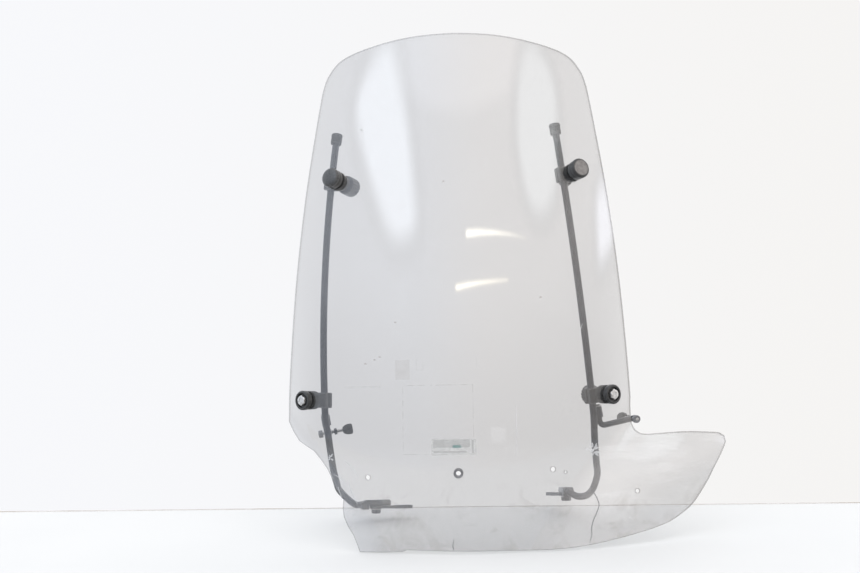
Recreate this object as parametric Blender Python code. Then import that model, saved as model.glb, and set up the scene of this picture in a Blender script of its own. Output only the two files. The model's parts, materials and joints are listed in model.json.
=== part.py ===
"""Scooter windshield screen: a smoked acrylic sheet on two steel rods, held by four clamps.

Metres, +Z up, the rider is on the +Y side and the road on the -Y side. The sheet is laid out flat first, as
u (sideways, 0 in the middle) and v (up the sheet, 0 at its foot), and then bent. The origin is at the centre
fixing hole, on the sheet's front face. Points marked as from the foot count from the middle of its lower edge.
"""

from math import cos, pi, radians, sin

import bpy
from mathutils import Matrix, Vector, geometry

# ---- The sheet -------------------------------------------------------------------------------------------
SHEET = 0.003
BEND_RADIUS = 0.360  # sideways bend
CAMBER_RADIUS = 1.80  # bend up the sheet
FOOT_LEAN = radians(2.2)  # lean from upright at the foot
VALLEY_U = 0.250  # where the valley of the wing meets the inner corner
VALLEY_V = 0.160
VALLEY_SLOPE = 0.90
VALLEY_WIDTH = (0.120, 0.060)  # at the foot, at the inner corner
FLARE = (radians(18), radians(34))  # how far the wing turns forward again, at the same two places
BEND_STEPS = 16
GRID = 0.0235  # spacing of the points inside the sheet

# The rim, as points on the flat sheet. Smooth stretches are curves through their points.
SIDE_TOP = (0.1962, 0.7020)
TOP_EDGE = ((0.0, 0.7425), (0.0640, 0.7405), (0.1180, 0.7352), (0.1590, 0.7285), (0.1808, 0.7192), SIDE_TOP)
SIDE_EDGE = (SIDE_TOP, (0.2045, 0.6800), (0.2180, 0.6080), (0.2355, 0.5080), (0.2520, 0.3870), (0.2630, 0.2740),
             (0.2680, 0.2080))
INNER_CORNER = ((0.2680, 0.2080), (0.2650, 0.1780), (0.2640, 0.1690), (0.2665, 0.1600), (0.2730, 0.1545),
                (0.2825, 0.1530))
WING_EDGE = ((0.2825, 0.1530), (0.3340, 0.1550), (0.3700, 0.1535), (0.3970, 0.1508), (0.4040, 0.1460),
             (0.4048, 0.1380), (0.3990, 0.1280), (0.3790, 0.1000), (0.3670, 0.0805), (0.3455, 0.0520),
             (0.3270, 0.0385), (0.2970, 0.0255), (0.2470, 0.0155), (0.1780, 0.0050), (0.1260, 0.0010),
             (0.0600, 0.0020), (0.0, 0.0030), (-0.0720, 0.0040))
BROKEN_EDGE = ((-0.0785, 0.0015), (-0.1090, 0.0), (-0.1385, 0.0), (-0.1424, 0.0090), (-0.1480, 0.0215),
               (-0.1570, 0.0340), (-0.1632, 0.0465), (-0.1655, 0.0580), (-0.1652, 0.0710), (-0.1730, 0.0790),
               (-0.1805, 0.0885), (-0.1868, 0.1020), (-0.1932, 0.1118), (-0.2030, 0.1230), (-0.2172, 0.1365),
               (-0.2280, 0.1420), (-0.2425, 0.1500), (-0.2545, 0.1635), (-0.2650, 0.1780))

CENTRE_HOLE = ((0.0, 0.1090), 0.0050)
PLAIN_HOLES = (((-0.1280, 0.1020), 0.0034), ((0.1320, 0.1100), 0.0034), ((0.1510, 0.1050), 0.0018),
               ((0.2530, 0.0745), 0.0030))
BOLT_HOLE_RADIUS = 0.0044
HOLE_POINTS = 12
LABEL_LOW = (-0.0365, 0.1335)
LABEL_HIGH = (0.0250, 0.1560)

# ---- Rods ------------------------------------------------------------------------------------------------
ROD_RADIUS = 0.005
ROD_SIDES = 12
BORE_GAP = 0.0004
# Each rod is bent to one shallow arc behind the sheet, so that it can slide in its two clamps. The arc goes
# through these points, given as (u, v, depth behind the sheet's front face): upper clamp, middle, lower clamp.
ROD_ARCS = {
    "left": ((-0.1960, 0.5330, 0.0145), (-0.2110, 0.3700, 0.0178), (-0.2182, 0.2095, 0.0250)),
    "right": ((0.1677, 0.5387, 0.0180), (0.1928, 0.3700, 0.0215), (0.2140, 0.2120, 0.0250)),
}
ROD_ABOVE = {"left": 0.0730, "right": 0.0715}  # from the upper clamp to the rod's top
ROD_BELOW = 0.0280  # how far the arc goes on below the lower clamp
# There the rods turn back and then in towards the handlebar. Points from the foot, the last in the bracket.
ROD_FEET = {
    "left": ((-0.1868, 0.0995, 0.1470), (-0.1843, 0.1040, 0.1195), (-0.1822, 0.1135, 0.0930),
             (-0.1803, 0.1320, 0.0700), (-0.1785, 0.1500, 0.0540), (-0.1668, 0.1710, 0.0335),
             (-0.1410, 0.1870, 0.0225)),
    "right": ((0.1920, 0.1115, 0.1310), (0.1955, 0.1310, 0.0965), (0.1978, 0.1470, 0.0726),
              (0.1918, 0.1590, 0.0488), (0.1825, 0.1670, 0.0375), (0.1700, 0.1720, 0.0355),
              (0.1575, 0.1950, 0.0362)),
}
ARC_STEP = 0.030
FOOT_STEP = 0.008

# ---- Clamps ----------------------------------------------------------------------------------------------
CLAMP_HEIGHT = 0.0215
CLAMP_HALF_DEPTH = 0.0072
CLAMP_SPLIT = 0.0006
CLAMP_LOBE = 0.0088  # from the rod's middle to the block's end
CUP_RADIUS = 0.0137
CUP_HEIGHT = 0.0080
CUP_FLOOR = 0.0043
BUSH_RADIUS = 0.0130
KNOB_RADIUS = 0.0138
KNOB_COLLAR = (0.0056, 0.0040)  # radius and length of its hub against the clamp
BOLT_RADIUS = 0.0040
HEX_FLAT = 0.0065  # half of its width across flats
HEAD_HEIGHT = 0.0053
CAP_RADIUS = 0.0142
CAP_TOP = 0.0155
TOUCH = 0.0003  # gap between pieces that touch
SEAT = 0.0009  # gap of a flat piece to the hollow side of the bent sheet
# name: (u, v, depth of the knob's end or 0 for a plain nut, has a snap cap)
CLAMPS = {
    "upper_left": (-0.1786, 0.5330, 0.0460, True),
    "upper_right": (0.1791, 0.5387, 0.0345, True),
    "lower_left": (-0.2321, 0.2095, 0.0, False),
    "lower_right": (0.2276, 0.2120, 0.0490, False),
}

# ---- Stay arms: an L-shaped bar that swings in a sleeve on each rod ---------------------------------------
BAR_RADIUS = 0.0042
BAR_BEND = 0.0075
BAR_REACH = 0.0570
LEG_TOP = 0.0108
LEG_DROP = 0.0200  # from the sleeve's middle to the bar
SLEEVE_BORE = 0.0046
SLEEVE_RADIUS = 0.0064
SLEEVE_HEIGHT = 0.0150
SLEEVE_BELOW = {"left": 0.0300, "right": 0.0275}  # from the lower clamp's middle, along the rod
SLEEVE_OFFSET = {"left": (0.0010, 0.0136), "right": (0.0072, 0.0112)}  # outward, back
SLEEVE_UP = {"left": (-0.16, 0.12, 0.98), "right": (-0.16, 0.06, 0.985)}  # its bore's direction
SCREW_AT = 0.0505
SCREW_RADIUS = 0.0024
# (azimuth of the bar at rest, side of the bar that the hand screw's head is on)
STAYS = {"left": (radians(94), -1), "right": (radians(22), 1)}

# ---- Handlebar brackets ----------------------------------------------------------------------------------
ROD_STRAIGHT = (0.0170, 0.0105)  # two points of its straight end, from the end
BODY_BACK = -0.0225  # from the pivot, along the body
BODY_STEP = -0.0110
BODY_FRONT = 0.0215
BODY_HALF_WIDTH = 0.0080
BODY_LOW = -0.0054
BODY_HIGH = 0.0086
ROD_IN_BODY = (-0.0125, 0.0016)  # the rod's end, along and above the pivot's plate
PLATE = 0.0041
PLATE_PAD = (0.0004, 0.0265)  # its fixing end is raised by this on both faces, from here on
PLATE_RADIUS = 0.0092
PLATE_LENGTH = 0.0460  # pivot to fixing hole
PLATE_HOLE = 0.0052
WASHER = 0.0016
BRACKET_TILT = radians(-12)  # the brackets dip to the rear
# (azimuth of the body, swing of the plate from it)
BRACKETS = {"left": (radians(14), radians(-6)), "right": (radians(97), radians(18))}

COLOURS = {
    "acrylic": ((0.62, 0.62, 0.66, 1), 0.08, 0.0),
    "black_plastic": ((0.012, 0.012, 0.013, 1), 0.45, 0.0),
    "black_steel": ((0.02, 0.021, 0.024, 1), 0.38, 0.6),
    "zinc": ((0.62, 0.62, 0.60, 1), 0.35, 1.0),
    "black_rubber": ((0.02, 0.02, 0.02, 1), 0.80, 0.0),
    "grey_rubber": ((0.16, 0.16, 0.17, 1), 0.70, 0.0),
    "label_film": ((0.70, 0.71, 0.70, 1), 0.50, 0.0),
}


# ---- Small helpers ---------------------------------------------------------------------------------------
def clear_scene():
    for obj in list(bpy.data.objects):
        bpy.data.objects.remove(obj)


def smoothstep(t):
    t = min(max(t, 0.0), 1.0)
    return t * t * (3 - 2 * t)


def mix(pair, t):
    return pair[0] + (pair[1] - pair[0]) * t


def material(name):
    found = bpy.data.materials.get(name)
    if found:
        return found
    colour, roughness, metallic = COLOURS[name]
    made = bpy.data.materials.new(name)
    made.use_nodes = True
    shader = made.node_tree.nodes["Principled BSDF"]
    shader.inputs["Base Color"].default_value = colour
    shader.inputs["Roughness"].default_value = roughness
    shader.inputs["Metallic"].default_value = metallic
    made.diffuse_color = colour
    return made


def add_object(name, verts, faces, surface, place=None, parent=None, smooth=True):
    mesh = bpy.data.meshes.new(name)
    mesh.from_pydata([tuple(v) for v in verts], [], faces)
    mesh.update()
    if smooth:
        mesh.shade_smooth()
        mesh.set_sharp_from_angle(angle=radians(35))
    mesh.materials.append(material(surface))
    obj = bpy.data.objects.new(name, mesh)
    bpy.context.scene.collection.objects.link(obj)
    obj.parent = parent
    if place is not None:
        obj.matrix_world = place
    return obj


def add_empty(name, place, parent=None):
    empty = bpy.data.objects.new(name, None)
    empty.empty_display_size = 0.02
    bpy.context.scene.collection.objects.link(empty)
    empty.parent = parent
    empty.matrix_world = place
    bpy.context.view_layer.update()
    return empty


def cut(obj, cutter):
    cutter.hide_render = True
    cutter.display_type = "WIRE"
    modifier = obj.modifiers.new("cut_" + cutter.name, "BOOLEAN")
    modifier.operation = "DIFFERENCE"
    modifier.solver = "EXACT"
    modifier.object = cutter


def soften(obj, width, segments=1):
    bevel = obj.modifiers.new("soft_edges", "BEVEL")
    bevel.width = width
    bevel.segments = segments
    bevel.limit_method = "ANGLE"
    bevel.angle_limit = radians(40)


def turned(profile, sides=16, closed=False):
    """Points and faces of a profile of (radius, z) turned round Z. Its outside is on the right of the profile.

    A radius written as ("hex", half width across flats) makes a six-sided stretch, on 12 sides.
    """
    verts, rings = [], []
    for radius, z in profile:
        if isinstance(radius, tuple):
            corner = radius[1] / cos(pi / 6)
            rings.append(list(range(len(verts), len(verts) + 12)))
            for i in range(12):
                reach = radius[1] if i % 2 else corner
                verts.append((reach * cos(pi / 6 * i), reach * sin(pi / 6 * i), z))
            continue
        if radius < 1e-7:
            rings.append([len(verts)])
            verts.append((0, 0, z))
            continue
        rings.append(list(range(len(verts), len(verts) + sides)))
        for i in range(sides):
            turn = 2 * pi * i / sides
            verts.append((radius * cos(turn), radius * sin(turn), z))
    pairs = list(zip(rings, rings[1:]))
    if closed:
        pairs.append((rings[-1], rings[0]))
    faces = []
    for low, high in pairs:
        for i in range(sides):
            j = (i + 1) % sides
            if len(low) == 1:
                faces.append((low[0], high[j], high[i]))
            elif len(high) == 1:
                faces.append((low[i], low[j], high[0]))
            else:
                faces.append((low[i], low[j], high[j], high[i]))
    return verts, faces


def prism(outline, low, high):
    """Points and faces of an outline, anticlockwise from above, between two heights."""
    count = len(outline)
    verts = [(x, y, low) for x, y in outline] + [(x, y, high) for x, y in outline]
    faces = [tuple(reversed(range(count))), tuple(range(count, 2 * count))]
    for i in range(count):
        j = (i + 1) % count
        faces.append((i, j, count + j, count + i))
    return verts, faces


def smooth_run(points, step, lead=None):
    """Points of a Catmull-Rom curve through the given ones, about a step apart. It comes from the point lead."""
    points = [Vector(p) for p in points]
    ends = [lead or 2 * points[0] - points[1]] + points + [2 * points[-1] - points[-2]]
    run = []
    for before, start, end, after in zip(ends, ends[1:], ends[2:], ends[3:]):
        pieces = max(1, round((end - start).length / step))
        for i in range(pieces):
            t = i / pieces
            run.append(0.5 * (2 * start + (end - before) * t + (2 * before - 5 * start + 4 * end - after) * t**2
                              + (3 * start - before - 3 * end + after) * t**3))
    run.append(points[-1])
    return run


def swept(path, radius, sides):
    """Points and faces of a round bar along a path, its section carried along without twist."""
    path = [Vector(p) for p in path]
    tangents = []
    for i, point in enumerate(path):
        ahead = path[min(i + 1, len(path) - 1)]
        behind = path[max(i - 1, 0)]
        tangents.append((ahead - behind).normalized())
    side = tangents[0].orthogonal().normalized()
    verts, faces = [], []
    for point, along in zip(path, tangents):
        side = (side - along * side.dot(along)).normalized()
        up = along.cross(side)
        for k in range(sides):
            turn = 2 * pi * k / sides
            verts.append(point + (side * cos(turn) + up * sin(turn)) * radius)
    for i in range(len(path) - 1):
        for k in range(sides):
            a, b = i * sides + k, i * sides + (k + 1) % sides
            faces.append((a, b, b + sides, a + sides))
    last = (len(path) - 1) * sides
    faces.append(tuple(reversed(range(sides))))
    faces.append(tuple(range(last, last + sides)))
    return verts, faces


def axes_at(origin, z_axis, y_axis):
    """Matrix with its Z along z_axis and its Y as near as can be to y_axis."""
    z_axis = Vector(z_axis).normalized()
    y_axis = Vector(y_axis)
    y_axis = (y_axis - z_axis * y_axis.dot(z_axis)).normalized()
    turn = Matrix((y_axis.cross(z_axis), y_axis, z_axis)).transposed()
    return Matrix.Translation(origin) @ turn.to_4x4()


def shifted(x, y, z):
    return Matrix.Translation((x, y, z))


# ---- The bent sheet --------------------------------------------------------------------------------------
def turn_back(a, v):
    """Angle by which the sheet has turned back at the distance a from its middle line."""
    rise = smoothstep(v / VALLEY_V)
    valley = VALLEY_U - (VALLEY_V - v) * VALLEY_SLOPE
    return a / BEND_RADIUS - mix(FLARE, rise) * smoothstep((a - valley) / mix(VALLEY_WIDTH, rise) + 0.5)


def bent_from_foot(u, v):
    """Point on the sheet's front face, from the middle of its foot."""
    lean = FOOT_LEAN + v / CAMBER_RADIUS
    back = CAMBER_RADIUS * (cos(FOOT_LEAN) - cos(lean))
    height = CAMBER_RADIUS * (sin(lean) - sin(FOOT_LEAN))
    side, depth, step = 0.0, 0.0, abs(u) / BEND_STEPS
    for i in range(BEND_STEPS):
        angle = turn_back((i + 0.5) * step, v)
        side += cos(angle) * step
        depth += sin(angle) * step
    side = side if u > 0 else -side
    return Vector((side, back + depth * cos(lean), height - depth * sin(lean)))


ORIGIN = bent_from_foot(*CENTRE_HOLE[0])


def bent(u, v):
    """Point on the sheet's front face."""
    return bent_from_foot(u, v) - ORIGIN


def front_normal(u, v):
    e = 1e-4
    across = bent(u + e, v) - bent(u - e, v)
    upward = bent(u, v + e) - bent(u, v - e)
    return across.cross(upward).normalized()


def behind(u, v, depth):
    return bent(u, v) - front_normal(u, v) * depth


def rim_points(step):
    """The whole rim on the flat sheet, anticlockwise."""
    right = smooth_run(TOP_EDGE, step * 0.6)[:-1] + smooth_run(SIDE_EDGE, step * 1.6)[:-1]
    left = [(-p[0], p[1]) for p in right[1:]]
    right += smooth_run(INNER_CORNER, step * 0.35)[:-1] + smooth_run(WING_EDGE, step)
    rim = [tuple(p) for p in right] + [tuple(p) for p in BROKEN_EDGE] + list(reversed(left))
    return list(reversed(rim))


def circle(centre, radius, count):
    return [(centre[0] + radius * cos(2 * pi * i / count), centre[1] + radius * sin(2 * pi * i / count))
            for i in range(count)]


def inside(point, outline):
    x, y = point
    hit = False
    for (x0, y0), (x1, y1) in zip(outline, outline[1:] + outline[:1]):
        if (y0 > y) != (y1 > y) and x < (x1 - x0) * (y - y0) / (y1 - y0) + x0:
            hit = not hit
    return hit


def clear_of(point, loops, distance):
    return all((Vector(point) - Vector(p)).length > distance for loop in loops for p in loop)


def sheet_layout():
    """Flat points and triangles of the sheet, with its holes left open."""
    rim = rim_points(0.020)
    holes = [circle(*CENTRE_HOLE, HOLE_POINTS)]
    holes += [circle(centre, radius, HOLE_POINTS) for centre, radius in PLAIN_HOLES]
    holes += [circle((u, v), BOLT_HOLE_RADIUS, HOLE_POINTS) for u, v, *_ in CLAMPS.values()]
    points, edges = [], []
    for loop in [rim] + holes:
        first = len(points)
        points += loop
        edges += [(first + i, first + (i + 1) % len(loop)) for i in range(len(loop))]
    loops = [rim] + holes
    columns = int(0.42 / GRID)
    for row in range(1, int(0.75 / GRID)):
        for column in range(-columns, columns + 1):
            spot = ((column + 0.5 * (row % 2)) * GRID, row * GRID)
            if inside(spot, rim) and clear_of(spot, loops, GRID * 0.45):
                points.append(spot)
    flat, _, found, *_ = geometry.delaunay_2d_cdt([Vector(p) for p in points], edges, [], 0, 1e-7)
    triangles = []
    for face in found:
        middle = sum((flat[i] for i in face), Vector((0, 0))) / 3
        if inside(middle, rim) and not any(inside(middle, hole) for hole in holes):
            a, b, c = (flat[i] for i in face)
            triangles.append(face if (b - a).cross(c - a) > 0 else face[::-1])
    return flat, triangles


def build_sheet():
    flat, triangles = sheet_layout()
    count = len(flat)
    verts, backs = [], []
    for u, v in flat:
        front = bent(u, v)
        verts.append(front)
        backs.append(front - front_normal(u, v) * SHEET)
    faces = [tuple(t) for t in triangles] + [tuple(i + count for i in reversed(t)) for t in triangles]
    used = {}
    for a, b, c in triangles:
        for edge in ((a, b), (b, c), (c, a)):
            used[edge] = True
    for a, b in used:
        if (b, a) not in used:
            faces.append((b, a, a + count, b + count))
    return add_object("screen", verts + backs, faces, "acrylic")


# ---- Rods ------------------------------------------------------------------------------------------------
def arc_of(side):
    """Middle, plane's normal and start of a rod's arc, which runs from the upper clamp to the lower one."""
    upper, middle, lower = (behind(*knot) for knot in ROD_ARCS[side])
    a, b = middle - upper, lower - upper
    normal = a.cross(b)
    centre = upper + (normal.cross(a) * b.length_squared + b.cross(normal) * a.length_squared) / (
        2 * normal.length_squared)
    return centre, normal.normalized(), upper, lower


def on_arc(side, distance):
    """Point and upward direction of a rod's arc at a distance below its middle of the upper clamp."""
    centre, normal, upper, _ = arc_of(side)
    turn = Matrix.Rotation(distance / (upper - centre).length, 3, normal)
    spoke = turn @ (upper - centre)
    return centre + spoke, -normal.cross(spoke).normalized()


def arc_length(side):
    centre, _, upper, lower = arc_of(side)
    return (upper - centre).angle(lower - centre) * (upper - centre).length


def bracket_frame(side):
    """Frame of a handlebar bracket: X along its body, Z up its pivot, the origin on top of the plate."""
    azimuth, _ = BRACKETS[side]
    end = Vector(ROD_FEET[side][-1]) - ORIGIN
    turn = Matrix.Rotation(BRACKET_TILT, 4, "X") @ Matrix.Rotation(azimuth, 4, "Z")
    return Matrix.Translation(end) @ turn @ shifted(-ROD_IN_BODY[0], 0, -ROD_IN_BODY[1])


def rod_line(side):
    """The rod's middle line, from its top down to its end in the bracket."""
    start, finish = -ROD_ABOVE[side], arc_length(side) + ROD_BELOW
    steps = round((finish - start) / ARC_STEP)
    line = [on_arc(side, start + (finish - start) * i / steps)[0] for i in range(steps + 1)]
    feet = [Vector(p) - ORIGIN for p in ROD_FEET[side]]
    into = bracket_frame(side).to_3x3() @ Vector((1, 0, 0))
    feet[-1:-1] = [feet[-1] - into * distance for distance in ROD_STRAIGHT]
    return line[:-1] + smooth_run([line[-1]] + feet, FOOT_STEP, lead=line[-2])


def build_rod(side):
    centre, normal, _, _ = arc_of(side)
    carrier = add_empty(side + "_rod_slide", axes_at(centre, normal, (0, 0, 1)))
    add_object(side + "_rod", *swept(rod_line(side), ROD_RADIUS, ROD_SIDES), "black_steel", Matrix(), carrier)
    top, up = on_arc(side, -ROD_ABOVE[side])
    bore = ROD_RADIUS + BORE_GAP
    cap = ((0, TOUCH), (bore, TOUCH), (bore, -0.0125), (0.0075, -0.0125), (0.0079, -0.0050),
           (0.0082, 0.0012), (0.0072, 0.0032), (0, 0.0036))
    add_object(side + "_rod_end_cap", *turned(cap), "black_rubber", axes_at(top, up, (0, 1, 0)), carrier)
    return carrier


# ---- Clamps ----------------------------------------------------------------------------------------------
def clamp_frame(name):
    """Frame of a clamp: Z out of the sheet's front along the bolt, Y up along the rod. With the rod's place."""
    u, v, _, _ = CLAMPS[name]
    level, side = name.split("_")
    distance = 0.0 if level == "upper" else arc_length(side)
    point, along = on_arc(side, distance)
    frame = axes_at(bent(u, v), front_normal(u, v), along)
    return frame, frame.inverted() @ point, point, along


def clamp_outline(lobe):
    """A round end about the bolt and a square end past the rod, anticlockwise."""
    half = CLAMP_HEIGHT / 2
    sign = 1 if lobe > 0 else -1
    arc = [(-sign * half * sin(pi * i / 8), half * cos(pi * i / 8)) for i in range(9)]
    outline = arc + [(lobe, -half), (lobe, half)]
    return outline if sign > 0 else list(reversed(outline))


def build_clamp(name):
    _, _, knob_end, capped = CLAMPS[name]
    frame, rod, point, along = clamp_frame(name)
    depth = -rod.z
    front, rear = depth - CLAMP_HALF_DEPTH, depth + CLAMP_HALF_DEPTH
    nut_end = rear + TOUCH + 0.0065
    tail = (knob_end - 0.0060) if knob_end else nut_end + 0.0030
    hole = BOLT_RADIUS + BORE_GAP
    head = CUP_FLOOR + TOUCH
    hex_side = ("hex", HEX_FLAT)
    bolt = ((0, -tail), (BOLT_RADIUS - 0.0006, -tail), (BOLT_RADIUS, -tail + 0.0008), (BOLT_RADIUS, head),
            (hex_side, head), (hex_side, head + HEAD_HEIGHT - 0.0006),
            (HEX_FLAT - 0.0006, head + HEAD_HEIGHT), (0, head + HEAD_HEIGHT))
    add_object(name + "_bolt", *turned(bolt, 12), "zinc", frame)
    cup = ((hole, TOUCH), (CUP_RADIUS, TOUCH), (CUP_RADIUS, CUP_HEIGHT - 0.0015),
           (CUP_RADIUS - 0.0015, CUP_HEIGHT), (0.0104, CUP_HEIGHT), (0.0098, CUP_FLOOR), (hole, CUP_FLOOR))
    add_object(name + "_cup", *turned(cup, 20, closed=True), "black_plastic", frame)
    if capped:
        inner, low = 0.0100, CUP_HEIGHT + TOUCH
        cap = ((0, head + HEAD_HEIGHT + 0.0008), (inner, head + HEAD_HEIGHT + 0.0008), (inner, low),
               (CAP_RADIUS, low), (CAP_RADIUS, 0.0115), (0.0132, 0.0136), (0.0105, 0.0150),
               (0.0055, CAP_TOP - 0.0001), (0, CAP_TOP))
        add_object(name + "_snap_cap", *turned(cap, 20), "black_plastic", frame)
    bush = ((hole, TOUCH - front), (BUSH_RADIUS, TOUCH - front), (BUSH_RADIUS, -SHEET - SEAT),
            (hole, -SHEET - SEAT))
    add_object(name + "_bush", *turned(bush, 20, closed=True), "black_rubber", frame)

    sign = 1 if rod.x > 0 else -1
    outline = clamp_outline(rod.x + sign * CLAMP_LOBE)
    halves = {"clamp_front": (-depth + CLAMP_SPLIT / 2, -front), "clamp_rear": (-rear, -depth - CLAMP_SPLIT / 2)}
    for half, (low, high) in halves.items():
        block = add_object(name + "_" + half, *prism(outline, low, high), "black_plastic", frame, smooth=False)
        soften(block, 0.0012)
        bore = swept([point - along * 0.02, point + along * 0.02], ROD_RADIUS + BORE_GAP, 16)
        cut(block, add_object(name + "_" + half + "_rod_cutter", *bore, "black_plastic", Matrix()))
        through = turned(((0, -0.08), (hole, -0.08), (hole, 0.01), (0, 0.01)), 12)
        cut(block, add_object(name + "_" + half + "_bolt_cutter", *through, "black_plastic", frame))

    start = -rear - TOUCH
    if knob_end:
        collar, shoulder = KNOB_COLLAR[0], start - KNOB_COLLAR[1]
        knob = ((0, -knob_end), (KNOB_RADIUS - 0.0025, -knob_end), (KNOB_RADIUS, -knob_end + 0.0025),
                (KNOB_RADIUS, shoulder - 0.0010), (KNOB_RADIUS - 0.0010, shoulder), (collar, shoulder),
                (collar, start), (hole, start), (hole, -knob_end + 0.0045), (0, -knob_end + 0.0045))
        add_object(name + "_hand_knob", *turned(knob, 20), "black_plastic", frame)
    else:
        nut = ((hole, -nut_end), (hex_side, -nut_end), (hex_side, start), (hole, start))
        add_object(name + "_nut", *turned(nut, 12, closed=True), "zinc", frame)


# ---- Stay arms -------------------------------------------------------------------------------------------
def stay_frame(side):
    """Frame of a sleeve: Z up along its bore, X outward to the right, Y to the rear."""
    distance = arc_length(side) + SLEEVE_BELOW[side]
    line = rod_line(side)
    run, here = 0.0, -ROD_ABOVE[side]
    for a, b in zip(line, line[1:]):
        run = (b - a).length
        if here + run >= distance:
            break
        here += run
    point = a + (b - a) * ((distance - here) / run)
    up = Vector(SLEEVE_UP[side]).normalized()
    right = (Vector((1, 0, 0)) - up * up.x).normalized()
    back = up.cross(right)
    outward, rearward = SLEEVE_OFFSET[side]
    outward = outward if side == "right" else -outward
    middle = point + right * outward + back * rearward
    turn = Matrix((right, back, up)).transposed().to_4x4()
    return Matrix.Translation(middle) @ turn


def bar_path():
    """Down the leg, round the bend and out along +X."""
    corner = [(BAR_BEND - BAR_BEND * cos(pi / 2 * i / 5), 0, BAR_BEND - LEG_DROP - BAR_BEND * sin(pi / 2 * i / 5))
              for i in range(6)]
    return [(0, 0, LEG_TOP)] + corner + [(SCREW_AT, 0, -LEG_DROP), (BAR_REACH, 0, -LEG_DROP)]


def build_stay(side, carrier):
    azimuth, hand = STAYS[side]
    frame = stay_frame(side)
    half = SLEEVE_HEIGHT / 2
    sleeve = ((SLEEVE_BORE, -half), (SLEEVE_RADIUS, -half), (SLEEVE_RADIUS, half), (SLEEVE_BORE, half))
    add_object(side + "_stay_sleeve", *turned(sleeve, 14, closed=True), "black_steel", frame, carrier)
    swing = add_empty(side + "_stay_swing", frame @ Matrix.Rotation(azimuth, 4, "Z"), carrier)
    arm = swing.matrix_world.copy()
    bar = add_object(side + "_stay_arm", *swept(bar_path(), BAR_RADIUS, 10), "black_steel", arm, swing)
    across = arm @ shifted(SCREW_AT, 0, -LEG_DROP) @ Matrix.Rotation(-hand * pi / 2, 4, "X")
    drill = turned(((0, -0.02), (SCREW_RADIUS + BORE_GAP, -0.02), (SCREW_RADIUS + BORE_GAP, 0.02), (0, 0.02)), 10)
    cut(bar, add_object(side + "_stay_screw_cutter", *drill, "black_steel", across))
    clip = ((BAR_RADIUS + BORE_GAP, half + TOUCH), (0.0062, half + TOUCH), (0.0062, half + 0.0025),
            (BAR_RADIUS + BORE_GAP, half + 0.0025))
    add_object(side + "_stay_clip", *turned(clip, 12, closed=True), "zinc", arm, swing)
    screw = ((0, -0.0175), (SCREW_RADIUS, -0.0175), (SCREW_RADIUS, 0.0240), (0, 0.0240))
    add_object(side + "_stay_screw", *turned(screw, 10), "zinc", across, swing)
    free = SCREW_RADIUS + BORE_GAP
    pad = ((free, -0.0170), (0.0048, -0.0170), (0.0055, -0.0160), (0.0055, -0.0110), (free, -0.0110))
    add_object(side + "_stay_pad", *turned(pad, 14, closed=True), "grey_rubber", across, swing)
    nut = ((free, 0.0062), (("hex", 0.0040), 0.0062), (("hex", 0.0040), 0.0102), (free, 0.0102))
    add_object(side + "_stay_lock_nut", *turned(nut, 12, closed=True), "black_steel", across, swing)
    head = ((0, 0.0243), (free, 0.0243), (free, 0.0190), (0.0045, 0.0190), (0.0066, 0.0225), (0.0078, 0.0260),
            (0.0078, 0.0310), (0.0066, 0.0335), (0, 0.0335))
    add_object(side + "_stay_screw_head", *turned(head, 14), "black_rubber", across, swing)


# ---- Handlebar brackets ----------------------------------------------------------------------------------
def plate_outline():
    left = [(-PLATE_RADIUS * sin(pi * i / 8), PLATE_RADIUS * cos(pi * i / 8)) for i in range(9)]
    right = [(PLATE_LENGTH + PLATE_RADIUS * sin(pi * i / 8), -PLATE_RADIUS * cos(pi * i / 8)) for i in range(9)]
    return left + right


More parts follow.
